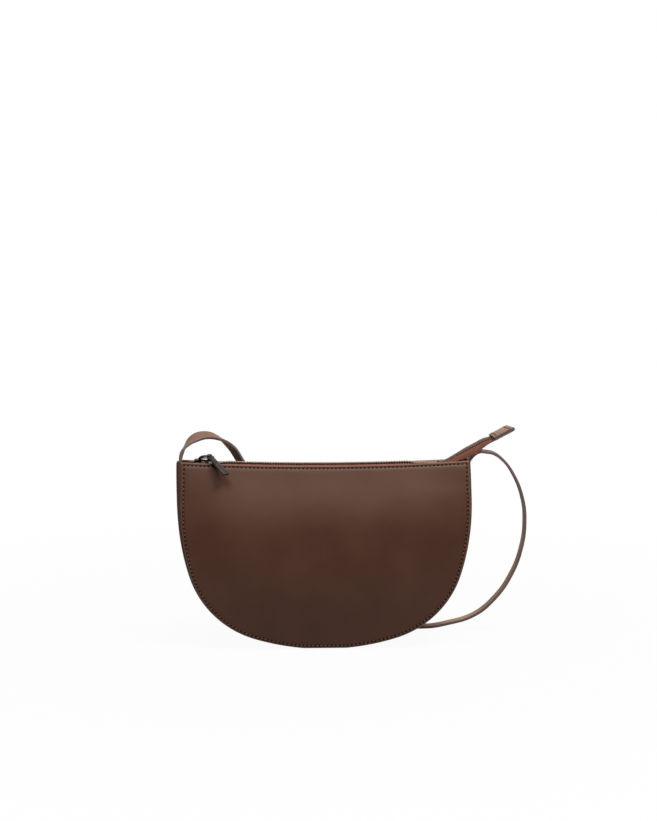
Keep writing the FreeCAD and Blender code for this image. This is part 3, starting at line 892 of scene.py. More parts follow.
# %% Pull bar
BAR_STATIONS = ((0.0, 3.4), (3.6, 5.3), (26.0, 6.0))
BAR_THICKNESS = 2.0
BAR_EASE = 0.45
BAR_STEPS = 3
BARREL_OUT = 1.9
BARREL_IN = 1.2
BARREL_WIDTH = 3.4
BARREL_SQUARE = 0.5
BARREL_COLUMNS = 28
BARREL_ROWS = 16
bar_seat = EYE + ring_out * 2 * RING_RADIUS
bar_along = pull_level * math.cos(BAR_DROP) - UP * math.sin(BAR_DROP)
bar_up = bar_along.cross(pull_axis)
bar_turn = Matrix((bar_along, pull_axis, bar_up)).transposed().to_4x4()

pull_bar = add_primitive("pull_bar_piece", bpy.ops.mesh.primitive_cube_add, size=MM)
in_edit_mode(pull_bar, bpy.ops.mesh.subdivide)
for point in pull_bar.data.vertices:
    reach, width = BAR_STATIONS[round(2 * point.co.x / MM) + 1]
    point.co = Vector((reach * MM, point.co.y * width, point.co.z * BAR_THICKNESS))
round_edges(pull_bar, BAR_EASE, BAR_STEPS)


def squared(share):
    return math.copysign(abs(share) ** BARREL_SQUARE, share)


def barrel_place(u, v):
    turn = 2 * math.pi * u
    face = 2 * math.pi * v
    middle = (BARREL_OUT + BARREL_IN) / 2
    wall = (BARREL_OUT - BARREL_IN) / 2
    radius = middle + wall * squared(math.cos(face))
    side = BARREL_WIDTH / 2 * squared(math.sin(face))
    return at(radius * math.cos(turn), side, radius * math.sin(turn))


barrel = close_tube(lay_sheet("pull_bar_barrel", BARREL_COLUMNS, BARREL_ROWS, barrel_place))
pull_bar = sew_together([pull_bar, barrel], "pull_bar_piece")
pull_bar.data.transform(Matrix.Translation(bar_seat * MM) @ bar_turn)
smooth(pull_bar, SMOOTH_METAL)
print("pull bar faces:", len(pull_bar.data.polygons))

# %% [markdown]
# ## Zip tail
# Past the right corner the closed zip runs on as a loose tail that stands up and ends in a folded leather
# tab. The free tape is wider than inside the mouth, and each half drapes down from the teeth like a roof.
# A cloth simulation could drape it, but it would not come to rest in just this shape. So its width and
# slope are drawn along the tail by a few stations, and it passes clear over the strap.

# %% Line of the tail
TAIL_ROOT = 98.0
TAIL_RISE = math.radians(26.0)
TAIL_ROLLS = ((10.0, 0.0), (30.0, 5.0), (52.0, 6.0))
TAIL_TURNS = ((44.0, 0.0), (56.0, 13.0))
TAIL_LIFTS = ((0.0, 0.9), (8.0, 0.3), (16.0, 0.7), (30.0, 1.3), (43.0, 1.8), (51.0, 0.8), (60.0, 0.7))
TAIL_PIVOT = 49.0
tail_along = Vector((math.cos(TAIL_RISE), 0.0, math.sin(TAIL_RISE)))
tail_up = Vector((-math.sin(TAIL_RISE), 0.0, math.cos(TAIL_RISE)))
tail_origin = Vector((TAIL_ROOT, 0.0, ZIP_HEIGHT))


def tail_spot(run, y, up):
    """Point of the tail: run along it, y across it, up from its plane, then rolled and turned."""
    roll = math.radians(between(TAIL_ROLLS, run))
    turn = math.radians(between(TAIL_TURNS, run))
    across = y * math.cos(roll) - up * math.sin(roll)
    height = up * math.cos(roll) + y * math.sin(roll)
    past = run - TAIL_PIVOT
    ahead = TAIL_PIVOT + past * math.cos(turn) - across * math.sin(turn)
    aside = past * math.sin(turn) + across * math.cos(turn)
    spot = tail_origin + tail_along * ahead + tail_up * (height + between(TAIL_LIFTS, run))
    return at(spot.x, spot.y + aside, spot.z)


print("root of the tail, m:", tail_spot(0.0, 0.0, 0.0).to_tuple(4))

# %% Tail tapes
TAIL_LENGTH = 58.0
FRONT_WIDTHS = ((0.0, 6.9), (14.0, 7.4), (22.0, 8.6), (31.0, 10.4), (41.0, 7.8), (47.0, 6.6), (58.0, 6.2))
FRONT_SLOPES = ((0.0, 4.0), (14.0, 40.0), (24.0, 50.0), (36.0, 50.0), (44.0, 38.0), (50.0, 20.0),
                (54.0, 0.0))
FRONT_DRAPES = ((0.0, 0.0), (14.0, 30.0), (24.0, 34.0), (36.0, 34.0), (44.0, 22.0), (52.0, 0.0))
BACK_WIDTHS = ((0.0, 6.9), (26.0, 8.0), (43.0, 7.6), (51.0, 6.4), (58.0, 6.2))
BACK_SLOPES = ((0.0, 0.0), (14.0, 2.0), (26.0, 2.0), (45.0, 2.0), (52.0, 0.0))
BACK_DRAPES = ((0.0, 0.0), (26.0, 10.0), (45.0, 10.0), (52.0, 0.0))
TAIL_COLUMNS = 48
TAIL_ROWS = 8


def tail_tape_place(side, widths, slopes, drapes):
    def place(u, v):
        run = TAIL_LENGTH * u
        width = between(widths, run) - TAPE_INNER
        slope = between(slopes, run)
        drape = between(drapes, run)
        y = TAPE_INNER
        up = 0.0
        for k in range(round(v * TAIL_ROWS)):
            lean = math.radians(slope + drape * (2.0 * k / (TAIL_ROWS - 1) - 1.0))
            y += width / TAIL_ROWS * math.cos(lean)
            up -= width / TAIL_ROWS * math.sin(lean)
        return tail_spot(run, side * y, up)
    return place


front_tail_tape = finish_tape(lay_sheet("front_tail_tape_piece", TAIL_COLUMNS, TAIL_ROWS,
                                        tail_tape_place(-1.0, FRONT_WIDTHS, FRONT_SLOPES, FRONT_DRAPES)))
back_tail_tape = finish_tape(lay_sheet("back_tail_tape_piece", TAIL_COLUMNS, TAIL_ROWS,
                                       tail_tape_place(1.0, BACK_WIDTHS, BACK_SLOPES, BACK_DRAPES)))
print("tail tapes:", front_tail_tape.name, back_tail_tape.name)

# %% Tail teeth
TAIL_TOOTH_SHARE = 0.42


def tail_teeth(name, side, shift):
    places = []
    run = shift
    while run < TAIL_LENGTH - TOOTH_LENGTH:
        low = tail_spot(run, 0.0, 0.0)
        front = tail_spot(run, -TOOTH_REACH, 0.0)
        out = tail_along.cross(low - front) * -1.0
        place = stand_on(low, tail_along, -out if out.z < 0 else out)
        places.append(place if side < 0 else place @ Matrix.Rotation(math.pi, 4, UP))
        run += TOOTH_PITCH
    flat = Matrix.Scale(TAIL_TOOTH_SHARE, 4, UP)
    return row_of_copies(name, tooth_seed, [place @ flat for place in places])


front_tail_teeth = tail_teeth("front_tail_teeth_row", -1.0, TOOTH_PITCH / 2)
back_tail_teeth = tail_teeth("back_tail_teeth_row", 1.0, TOOTH_PITCH)
bpy.data.objects.remove(tooth_seed)
print("tail teeth faces:", len(front_tail_teeth.data.polygons))

# %% [markdown]
# ## End tab
# A strip of paler leather is folded over the tail's end and sewn across twice. A block with a rounded end
# could stand for it, but the two layers and the tape between them show at its edges. So one long grid
# runs up one side, round the fold and back down the other, and is then thickened to the leather.

# %% Folded end tab
TAB_START = 51.0
TAB_END = 70.5
TAB_WIDTH = 16.0
TAB_LAYER = 1.4
TAB_GAPS = ((51.0, 1.15), (58.0, 1.05), (66.0, 0.3))
TAB_PINCH = 0.8
TAB_PINCH_START = 4.0
TAB_PINCH_REACH = 3.2
TAB_PINCH_END = 60.0
TAB_PINCH_FADE = 6.0
TAB_COLUMNS = 44
TAB_ROWS = 12
TAB_EDGE = 0.3
TAB_STEPS = 2
TAB_SHARP = 40.0
tab_fold = TAB_GAPS[-1][1] + TAB_LAYER / 2
tab_run = TAB_END - TAB_START - tab_fold - TAB_LAYER / 2
tab_sweep = math.pi * tab_fold
tab_strip = 2 * tab_run + tab_sweep


def tab_side(run, y):
    """Distance of a layer's middle from the tail's plane: wide over the teeth, pinched at its edges."""
    pinch = TAB_PINCH * ease((abs(y) - TAB_PINCH_START) / TAB_PINCH_REACH)
    pinch *= 1.0 - ease((run - TAB_PINCH_END) / TAB_PINCH_FADE)
    return between(TAB_GAPS, run) * (1.0 - pinch) + TAB_LAYER / 2


def tab_place(u, v):
    run = u * tab_strip
    y = (v - 0.5) * TAB_WIDTH
    if run < tab_run:
        return tail_spot(TAB_START + run, y, tab_side(TAB_START + run, y))
    if run > tab_run + tab_sweep:
        back = TAB_START + tab_strip - run
        return tail_spot(back, y, -tab_side(back, y))
    turn = (run - tab_run) / tab_fold
    return tail_spot(TAB_START + tab_run + tab_fold * math.sin(turn), y, tab_fold * math.cos(turn))


tab = lay_sheet("zip_tab", TAB_COLUMNS, TAB_ROWS, tab_place)
thicken(tab, TAB_LAYER, 0.0)
in_edit_mode(tab, bpy.ops.mesh.normals_make_consistent)
round_edges(tab, TAB_EDGE, TAB_STEPS, TAB_SHARP)
smooth(tab, TAB_SHARP)
print("tab faces:", len(tab.data.polygons))

# %% Stitches across the tab
TAB_SEAMS = (53.4, 66.2)
TAB_STITCHES = (-5.1, -1.7, 1.7, 5.1)
TAB_NEEDLES = (-6.8, -3.4, 0.0, 3.4, 6.8)


def on_tab(run, y, side):
    lift = side * (tab_side(run, y) + TAB_LAYER / 2)
    spot = tail_spot(run, y, lift)
    return stand_on(spot, tail_spot(run, y + 1.0, lift) - spot, tail_spot(run, y, lift + side) - spot)


tab_faces = [(run, side) for run in TAB_SEAMS for side in (-1.0, 1.0)]
tab_threads = [on_tab(run, y, side) for run, side in tab_faces for y in TAB_STITCHES]
tab_needles = [on_tab(run, y, side) @ Matrix.Translation(at(0.0, 0.0, HOLE_LIFT))
               for run, side in tab_faces for y in TAB_NEEDLES]
tab_stitches = row_of_copies("tab_stitches", thread_seed, tab_threads)
# Dark discs of painted shade stand for the needle holes on the tab.
tab_hole_shades = row_of_copies("tab_needle_hole_shades", hole_shade_seed, tab_needles)
bpy.data.objects.remove(thread_seed)
bpy.data.objects.remove(hole_shade_seed)
print("stitches on the tab:", len(tab_threads))

# %% [markdown]
# ## Strap
# The strap is a flat strip of tan leather with painted edges, sewn into the two gusset ends. It rises
# from the left corner, arches back and falls behind the bag, then comes up again past the right side. A
# bevelled curve with a tilt at each point could give it, but such tilts are hard to foresee. So a smooth
# curve through the route's stations gives the line alone, and a rounded section is swept along it,
# twisted in the arch and by half a turn behind the bag, where it lies flat. Its rough side then faces the
# bag on the right as well. The strap is cut in three, because both roots bend where they leave the bag.

# %% Line of the strap
STRAP_WIDTH = 10.0
STRAP_THICKNESS = 2.4
STRAP_EDGE = 0.5
STRAP_ROOT = 122.4
STRAP_LEAN = 1.4
STRAP_BEND_HEIGHT = 164.5
STRAP_SEAT_LOW = 139.5
STRAP_RIGHT_END = 137.4
STRAP_RIGHT_TOP = 164.1
STRAP_BEHIND = 40.0
CURVE_STEPS = 24
STRAP_ROUTE_SHARES = (
    (-0.938, 0.04, 1.080), (-0.889, 0.13, 1.114), (-0.822, 0.26, 1.129), (-0.732, 0.42, 1.112),
    (-0.642, 0.56, 1.056), (-0.576, 0.68, 0.973), (-0.416, 0.86, 0.750), (-0.200, 0.98, 0.495),
    (0.040, 1.01, 0.267), (0.304, 1.01, 0.095), (0.520, 0.99, 0.030), (0.724, 0.98, 0.016),
    (0.881, 0.93, 0.038), (1.062, 0.82, 0.091), (1.192, 0.70, 0.183), (1.309, 0.58, 0.327),
    (1.377, 0.42, 0.500), (1.391, 0.31, 0.643), (1.371, 0.22, 0.770), (1.295, 0.11, 0.919),
    (1.216, 0.045, 1.000), (1.152, 0.01, 1.034),
)
route = [at(-STRAP_ROOT, 0.0, STRAP_SEAT_LOW), at(-STRAP_ROOT, 0.0, CORNER_HEIGHT)]
route += [at(STRAP_LEAN - STRAP_ROOT, 0.0, STRAP_BEND_HEIGHT)]
route += [at(x * HALF_WIDTH, y * STRAP_BEHIND, z * CORNER_HEIGHT) for x, y, z in STRAP_ROUTE_SHARES]
route += [at(STRAP_RIGHT_END, 0.0, STRAP_RIGHT_TOP)]


def smooth_line(points):
    bpy.ops.object.select_all(action="DESELECT")
    bpy.ops.curve.primitive_bezier_curve_add()
    curve = bpy.context.object
    curve.data.dimensions = "3D"
    curve.data.resolution_u = CURVE_STEPS
    spline = curve.data.splines[0]
    spline.bezier_points.add(len(points) - len(spline.bezier_points))
    for knot, spot in zip(spline.bezier_points, points):
        knot.co = spot
        knot.handle_left_type = "AUTO"
        knot.handle_right_type = "AUTO"
    bpy.ops.object.convert(target="MESH")
    line = [point.co.copy() for point in bpy.context.object.data.vertices]
    bpy.data.objects.remove(bpy.context.object)
    return line


strap_line = smooth_line(route)
strap_runs = runs_of(strap_line)
print("strap line, mm:", round(strap_runs[-1] / MM, 1))

# %% Strap section and frame
STRAP_STEP = 2.0
STRAP_CORNER_STEPS = 4
STRAP_FACE_STEPS = 4
LEFT_CUT_HEIGHT = 172.0
TANGENT_BEFORE = 4
TANGENT_AFTER = 3
ACROSS_BAG = BACK
ACROSS_RISE = Vector((-0.57, 0.69, 0.44))
ACROSS_FALL = Vector((-0.42, 0.82, -0.38))
ACROSS_FLAT = Vector((-0.7, 0.0, -0.7))
ACROSS_TURNED = -BACK
ACROSS_ROOT = Vector((0.14, 0.99, 0.0))
STRAP_TWISTS = ((17.0, ACROSS_BAG), (25.0, ACROSS_ROOT), (49.0, ACROSS_RISE), (58.0, ACROSS_RISE),
                (90.0, ACROSS_FALL), (105.0, ACROSS_FALL), (175.0, ACROSS_FLAT), (235.0, ACROSS_FLAT),
                (315.0, ACROSS_TURNED))


def strap_section():
    """Rounded rectangle, as pairs of place across the strap and place through it."""
    points = []
    flat = STRAP_WIDTH / 2 - STRAP_EDGE
    deep = STRAP_THICKNESS / 2 - STRAP_EDGE
    for quadrant, (side, face) in enumerate(((1, 1), (-1, 1), (-1, -1), (1, -1))):
        for k in range(STRAP_CORNER_STEPS + 1):
            turn = math.pi / 2 * (quadrant + k / STRAP_CORNER_STEPS)
            wide = side * flat + STRAP_EDGE * math.cos(turn)
            points.append((wide, face * deep + STRAP_EDGE * math.sin(turn)))
        if quadrant % 2 == 0:
            for k in range(1, STRAP_FACE_STEPS):
                wide = side * flat * (1.0 - 2.0 * k / STRAP_FACE_STEPS)
                points.append((wide, face * STRAP_THICKNESS / 2))
    return points + points[:1]


SECTION = strap_section()


def strap_frame(run):
    """Place on the strap's line, direction along it, and direction across the strap's face."""
    k, share = step_at(strap_runs, run)
    low = max(k - TANGENT_BEFORE, 0)
    high = min(k + TANGENT_AFTER, len(strap_line) - 1)
    along = (strap_line[high] - strap_line[low]).normalized()
    across = between(STRAP_TWISTS, run / MM)
    across = (across - along * across.dot(along)).normalized()
    return strap_line[k - 1].lerp(strap_line[k], share), along, across


print("points of the strap's section:", len(SECTION) - 1)


# %% Strap pieces
def strap_strip(name, start, end, frame_at):
    columns = round((end - start) / (STRAP_STEP * MM))

    def place(u, v):
        spot, along, across = frame_at(start + (end - start) * u)
        wide, deep = SECTION[round(v * (len(SECTION) - 1))]
        return spot + (across * wide + along.cross(across) * deep) * MM

    return close_tube(lay_sheet(name, columns, len(SECTION) - 1, place))


left_cut = next(run for run, spot in zip(strap_runs, strap_line) if spot.z > LEFT_CUT_HEIGHT * MM)
left_root = strap_strip("strap_left_root", 0.0, left_cut, strap_frame)
strap_loop = strap_strip("strap_loop", left_cut, strap_runs[-1], strap_frame)
RIGHT_ROOT_SHARES = ((0.0, 0.0), (0.0, 0.54), (0.17, 0.77), (0.42, 0.93), (0.72, 1.012), (1.0, 1.0))
right_reach = STRAP_RIGHT_END - STRAP_ROOT
right_rise = STRAP_RIGHT_TOP - STRAP_SEAT_LOW
right_line = smooth_line([at(STRAP_ROOT + right_reach * x, 0.0, STRAP_SEAT_LOW + right_rise * z)
                          for x, z in RIGHT_ROOT_SHARES])
right_runs = runs_of(right_line)


def right_frame(run):
    k, share = step_at(right_runs, run)
    along = (right_line[k] - right_line[k - 1]).normalized()
    return right_line[k - 1].lerp(right_line[k], share), along, ACROSS_BAG


right_root = strap_strip("strap_right_root", 0.0, right_runs[-1], right_frame)
print("strap pieces:", left_root.name, strap_loop.name, right_root.name)

# %% [markdown]
# ## Finishes
# Leather, cloth, thread and metal are all built from nodes on Object coordinates, so nothing slides when
# a piece moves. Painted images could carry the grain, but nodes stay sharp from near and need no file.
# Shared effects are node groups: a pebbled grain for every leather, a weave for tape and lining, and slow
# cloudy patches that keep each colour from looking printed.

# %% Colours
def grey(value):
    return (value, value, value, 1.0)


def linear(red, green, blue):
    """Colour as light, from the levels that a screen shows."""
    def channel(value):
        value /= 255.0
        return value / 12.92 if value <= 0.04045 else ((value + 0.055) / 1.055) ** 2.4
    return (channel(red), channel(green), channel(blue), 1.0)


print("a middle grey as light:", round(linear(128, 128, 128)[0], 3))


# %% Short way to add nodes
class Nodes:
    """Short way to add nodes and wire them."""

    def __init__(self, tree):
        self.tree = tree

    def add(self, kind, **settings):
        node = self.tree.nodes.new(kind)
        for key, value in settings.items():
            setattr(node, key, value)
        return node

    def wire(self, source, target):
        self.tree.links.new(source, target)

    def math(self, operation, a, b):
        node = self.add("ShaderNodeMath", operation=operation)
        for socket, value in zip(node.inputs, (a, b)):
            if isinstance(value, (int, float)):
                socket.default_value = value
            else:
                self.wire(value, socket)
        return node.outputs[0]

    def mix(self, share, a, b):
        node = self.add("ShaderNodeMix", data_type="RGBA")
        for socket, value in ((node.inputs[0], share), (node.inputs[6], a), (node.inputs[7], b)):
            if isinstance(value, bpy.types.NodeSocket):
                self.wire(value, socket)
            else:
                socket.default_value = value
        return node.outputs[2]


def new_group(name, *outputs):
    """Start a group that takes a place and a scale and gives the named values."""
    tree = bpy.data.node_groups.new(name, "ShaderNodeTree")
    tree.interface.new_socket(name="Vector", in_out="INPUT", socket_type="NodeSocketVector")
    tree.interface.new_socket(name="Scale", in_out="INPUT", socket_type="NodeSocketFloat")
    for label in outputs:
        tree.interface.new_socket(name=label, in_out="OUTPUT", socket_type="NodeSocketFloat")
    nodes = Nodes(tree)
    return nodes, nodes.add("NodeGroupInput"), nodes.add("NodeGroupOutput")


# %% Shared groups: leather grain, weave and cloudy patches
CREASE_DETAIL = 4.0
CREASE_SCALE_SHARE = 0.55
PEBBLE_SHARE = 0.7
WEAVE_DISTORTION = 0.6
CLOUD_DETAIL = 3.0
CLOUD_LOW = 0.35
CLOUD_HIGH = 0.65


def build_grain():
    nodes, inside, outside = new_group("leather_grain", "Height", "Pores")
    pebbles = nodes.add("ShaderNodeTexVoronoi", feature="SMOOTH_F1")
    nodes.wire(inside.outputs["Vector"], pebbles.inputs["Vector"])
    nodes.wire(inside.outputs["Scale"], pebbles.inputs["Scale"])
    creases = nodes.add("ShaderNodeTexNoise")
    creases.inputs["Detail"].default_value = CREASE_DETAIL
    nodes.wire(inside.outputs["Vector"], creases.inputs["Vector"])
    nodes.wire(nodes.math("MULTIPLY", inside.outputs["Scale"], CREASE_SCALE_SHARE), creases.inputs["Scale"])
    hollows = nodes.math("MULTIPLY", pebbles.outputs["Distance"], PEBBLE_SHARE)
    height = nodes.math("SUBTRACT", creases.outputs["Fac"], hollows)
    nodes.wire(height, outside.inputs["Height"])
    nodes.wire(pebbles.outputs["Distance"], outside.inputs["Pores"])
    return nodes.tree


def build_weave():
    nodes, inside, outside = new_group("cloth_weave", "Height")
    ribs = nodes.add("ShaderNodeTexWave", wave_type="BANDS", bands_direction="X")
    cross = nodes.add("ShaderNodeTexWave", wave_type="BANDS", bands_direction="DIAGONAL")
    for wave in (ribs, cross):
        wave.inputs["Distortion"].default_value = WEAVE_DISTORTION
        nodes.wire(inside.outputs["Vector"], wave.inputs["Vector"])
        nodes.wire(inside.outputs["Scale"], wave.inputs["Scale"])
    nodes.wire(nodes.math("MULTIPLY", ribs.outputs["Fac"], cross.outputs["Fac"]), outside.inputs["Height"])
    return nodes.tree


def build_patches():
    nodes, inside, outside = new_group("cloudy_patches", "Share")
    cloud = nodes.add("ShaderNodeTexNoise")
    cloud.inputs["Detail"].default_value = CLOUD_DETAIL
    nodes.wire(inside.outputs["Vector"], cloud.inputs["Vector"])
    nodes.wire(inside.outputs["Scale"], cloud.inputs["Scale"])
    spread = nodes.add("ShaderNodeMapRange")
    spread.inputs["From Min"].default_value = CLOUD_LOW
    spread.inputs["From Max"].default_value = CLOUD_HIGH
    nodes.wire(cloud.outputs["Fac"], spread.inputs["Value"])
    nodes.wire(spread.outputs["Result"], outside.inputs["Share"])
    return nodes.tree


grain_group = build_grain()
weave_group = build_weave()
patch_group = build_patches()
print("shared groups:", grain_group.name, weave_group.name, patch_group.name)

# %% Parts that every finish shares
WARM_SHEEN = (1.0, 0.78, 0.66, 1.0)
PLAIN_SHEEN = grey(1.0)


def new_finish(name, roughness, specular, sheen):
    material = bpy.data.materials.new(name)
    material.use_nodes = True
    nodes = Nodes(material.node_tree)
    shader = material.node_tree.nodes["Principled BSDF"]
    shader.inputs["Roughness"].default_value = roughness
    shader.inputs["Specular IOR Level"].default_value = specular
    shader.inputs["Specular Tint"].default_value = sheen
    place = nodes.add("ShaderNodeTexCoord").outputs["Object"]
    return material, nodes, shader, place


def use_group(nodes, tree, place, scale):
    node = nodes.add("ShaderNodeGroup", node_tree=tree)
    nodes.wire(place, node.inputs["Vector"])
    node.inputs["Scale"].default_value = scale
    return node


def add_bump(nodes, shader, height, strength, depth):
    bump = nodes.add("ShaderNodeBump")
    bump.inputs["Strength"].default_value = strength
    bump.inputs["Distance"].default_value = depth * MM
    nodes.wire(height, bump.inputs["Height"])
    nodes.wire(bump.outputs["Normal"], shader.inputs["Normal"])


def vary_roughness(nodes, shader, share, roughness, spread):
    """Let the roughness swing by the spread about its middle, as share goes from 0 to 1."""
    varied = nodes.math("MULTIPLY_ADD", share, spread)
    varied.node.inputs[2].default_value = roughness - spread / 2
    nodes.wire(varied, shader.inputs["Roughness"])


print("sheen of leather:", WARM_SHEEN)

# %% [markdown]
# ## Leather
# The panels are smooth leather with a faint grain. The strap is paler, its inner side is left rough, and
# its cut edges are painted. Each could have a recipe of its own, but one serves them all: two near
# colours mixed by the cloudy patches, darker pores, a slight change of gloss and a fine bump. Along the
# seam the panel gets painted shade where it is sunk and a painted highlight on its rolled rim, by two
# attributes that the panel's points carry.

# %% Leather finishes
GRAIN_SCALE = 1700.0
GRAIN_STRENGTH = 0.35
GRAIN_DEPTH = 0.1
PAINT_DEPTH = 0.02
BACK_DEPTH = 0.18
PORES = 0.12
PAINT_PORES = 0.02
PORE_SHADE = 0.4
LEATHER_PATCH_SCALE = 26.0
LEATHER_SPREAD = 0.06
# Painted shade in the sunk seam groove and a painted highlight on the rolled rim: how far each goes, and
# its colour.
SEAM_SHADE_SHARE = 0.45
RIM_HIGHLIGHT_SHARE = 0.5
SEAM_SHADE_COLOUR = linear(38, 22, 17)
RIM_HIGHLIGHT_COLOUR = linear(128, 92, 78)


def leather_finish(name, dark, light, roughness, specular, depth=GRAIN_DEPTH, pored=PORES, seams=False):
    material, nodes, shader, place = new_finish(name, roughness, specular, WARM_SHEEN)
    grain = use_group(nodes, grain_group, place, GRAIN_SCALE)
    patches = use_group(nodes, patch_group, place, LEATHER_PATCH_SCALE)
    colour = nodes.mix(patches.outputs["Share"], dark, light)
    pores = nodes.math("MULTIPLY", grain.outputs["Pores"], pored)
    colour = nodes.mix(pores, colour, tuple(channel * PORE_SHADE for channel in dark[:3]) + (1.0,))
    if seams:
        # Painted shade where the seam is sunk, and a painted highlight on the rolled rim.
        for label, most, tone in (("sunk", SEAM_SHADE_SHARE, SEAM_SHADE_COLOUR), ("rim", RIM_HIGHLIGHT_SHARE, RIM_HIGHLIGHT_COLOUR)):
            share = nodes.add("ShaderNodeAttribute", attribute_name=label).outputs["Fac"]
            colour = nodes.mix(nodes.math("MULTIPLY", share, most), colour, tone)
    nodes.wire(colour, shader.inputs["Base Color"])
    vary_roughness(nodes, shader, patches.outputs["Share"], roughness, LEATHER_SPREAD)
    add_bump(nodes, shader, grain.outputs["Height"], GRAIN_STRENGTH, depth)
    return material


panel_leather = leather_finish("brown_panel_leather", linear(60, 37, 28), linear(66, 41, 31),
                               roughness=0.42, specular=0.235, seams=True)
# The gusset is the panels' leather, made a little darker as painted shade where it lies back between them.
gusset_leather = leather_finish("gusset_leather_painted_shade", linear(54, 34, 27), linear(62, 40, 32),
                                roughness=0.5, specular=0.2)
strap_leather = leather_finish("tan_strap_leather", linear(88, 65, 53), linear(102, 77, 64),
                               roughness=0.5, specular=0.25)
strap_back = leather_finish("rough_strap_back", linear(104, 83, 68), linear(158, 131, 108),
                            roughness=0.75, specular=0.1, depth=BACK_DEPTH)
tab_leather = leather_finish("pale_tab_leather", linear(96, 74, 62), linear(120, 94, 80),
                             roughness=0.55, specular=0.25)
edge_paint = leather_finish("painted_strap_edge", linear(90, 75, 72), linear(102, 86, 83),
                            roughness=0.42, specular=0.3, depth=PAINT_DEPTH, pored=PAINT_PORES)
print("leathers:", panel_leather.name, gusset_leather.name, strap_leather.name, edge_paint.name)

# %% [markdown]
# ## Cloth and metal
# The tape and the lining are woven, the thread is waxed, and the teeth and the pull are dark metal. A
# plain colour could do for such small parts, but it looks like plastic from near. So weave and patches
# make every cloth, and fine scratches in gloss and bump make every metal, and only colours and scales
# differ.

# %% Cloth, thread, hole, board and metal finishes
CLOTH_SPECULAR = 0.2
CLOTH_PATCH_SCALE = 104.0
CLOTH_WEAVE_SHARE = 0.7
CLOTH_PATCH_SHARE = 0.3
WEAVE_STRENGTH = 0.6
WEAVE_DEPTH = 0.2
METAL_SPECULAR = 0.5
METAL_PATCH_SCALE = 312.0
SCRATCH_SCALE = 900.0
SCRATCH_DETAIL = 6.0
SCRATCH_STRENGTH = 0.12
SCRATCH_DEPTH = 0.05
METAL_SPREAD = 0.16


def cloth_finish(name, dark, light, scale, roughness):
    material, nodes, shader, place = new_finish(name, roughness, CLOTH_SPECULAR, PLAIN_SHEEN)
    weave = use_group(nodes, weave_group, place, scale)
    patches = use_group(nodes, patch_group, place, CLOTH_PATCH_SCALE)
    share = nodes.math("MULTIPLY_ADD", weave.outputs["Height"], CLOTH_WEAVE_SHARE)
    cloudy = nodes.math("MULTIPLY", patches.outputs["Share"], CLOTH_PATCH_SHARE)
    nodes.wire(cloudy, share.node.inputs[2])
    nodes.wire(nodes.mix(share, dark, light), shader.inputs["Base Color"])
    add_bump(nodes, shader, weave.outputs["Height"], WEAVE_STRENGTH, WEAVE_DEPTH)
    return material


def metal_finish(name, dark, light, roughness):
    material, nodes, shader, place = new_finish(name, roughness, METAL_SPECULAR, PLAIN_SHEEN)
    shader.inputs["Metallic"].default_value = 1.0
    patches = use_group(nodes, patch_group, place, METAL_PATCH_SCALE)
    scratches = nodes.add("ShaderNodeTexNoise")
    scratches.inputs["Scale"].default_value = SCRATCH_SCALE
    scratches.inputs["Detail"].default_value = SCRATCH_DETAIL
    nodes.wire(place, scratches.inputs["Vector"])
    nodes.wire(nodes.mix(patches.outputs["Share"], dark, light), shader.inputs["Base Color"])
    vary_roughness(nodes, shader, scratches.outputs["Fac"], roughness, METAL_SPREAD)
    add_bump(nodes, shader, scratches.outputs["Fac"], SCRATCH_STRENGTH, SCRATCH_DEPTH)
    return material


zip_cloth = cloth_finish("woven_zip_tape", linear(77, 45, 32), linear(110, 67, 50),
                         scale=620.0, roughness=0.8)
lining_cloth = cloth_finish("plain_lining", linear(92, 76, 62), linear(118, 100, 84),
                            scale=500.0, roughness=0.85)
thread = cloth_finish("waxed_thread", linear(88, 55, 43), linear(122, 80, 65),
                      scale=1500.0, roughness=0.6)
# Near-black painted shade for the needle holes' discs.
hole_shade_finish = cloth_finish("needle_hole_shade", linear(9, 5, 4), linear(14, 8, 6),
                           scale=900.0, roughness=0.95)
# The cord is near-black as painted shade in the gaps between the teeth.
cord_shade_cloth = cloth_finish("tape_cord_painted_shade", linear(26, 16, 12), linear(40, 25, 19),
                          scale=900.0, roughness=0.9)
board = cloth_finish("fibre_board", linear(70, 48, 38), linear(88, 62, 50),
                     scale=260.0, roughness=0.9)
zip_metal = metal_finish("dark_zip_metal", linear(122, 101, 84), linear(154, 131, 111), roughness=0.36)
# The tail's teeth are the mouth's zip metal, painted darker as shade.
tail_shade_metal = metal_finish("tail_zip_metal_painted_shade", linear(52, 42, 34), linear(72, 59, 48), roughness=0.42)
pull_metal = metal_finish("gunmetal", linear(54, 49, 45), linear(76, 69, 63), roughness=0.34)
print("finishes:", len(bpy.data.materials))

# %% [markdown]
# ## Dressing the frame
# Every piece now gets its finish, rides on its body and stands for the CAD solids that it covers. The
# strap's and the tab's cut edges get the edge paint: their faces are those that look across the strap. A
# piece that crosses a fold could ride on one body, but it would tear off the other. So it rides on no body.

# %% Paint, ride and replace
def dress(piece, finish, slot, body, *nodes):
    piece.data.materials.clear()
    piece.data.materials.append(finish)
    if body:
        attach(piece, body)
    if nodes:
        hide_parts(*nodes)
    return piece


dress(front_panel, panel_leather, "panel_leather", "shell", "front_panel")
dress(back_panel, panel_leather, "panel_leather", "shell", "back_panel")
dress(gusset, gusset_leather, "gusset_leather", "shell", "gusset")
dress(front_lining, lining_cloth, "lining", "shell", "front_lining")
dress(back_lining, lining_cloth, "lining", "shell", "back_lining")
dress(gusset_lining, lining_cloth, "lining", "shell", "gusset_lining")
for piece in (front_stitches, back_stitches):
    dress(piece, thread, "panel_leather", "shell")
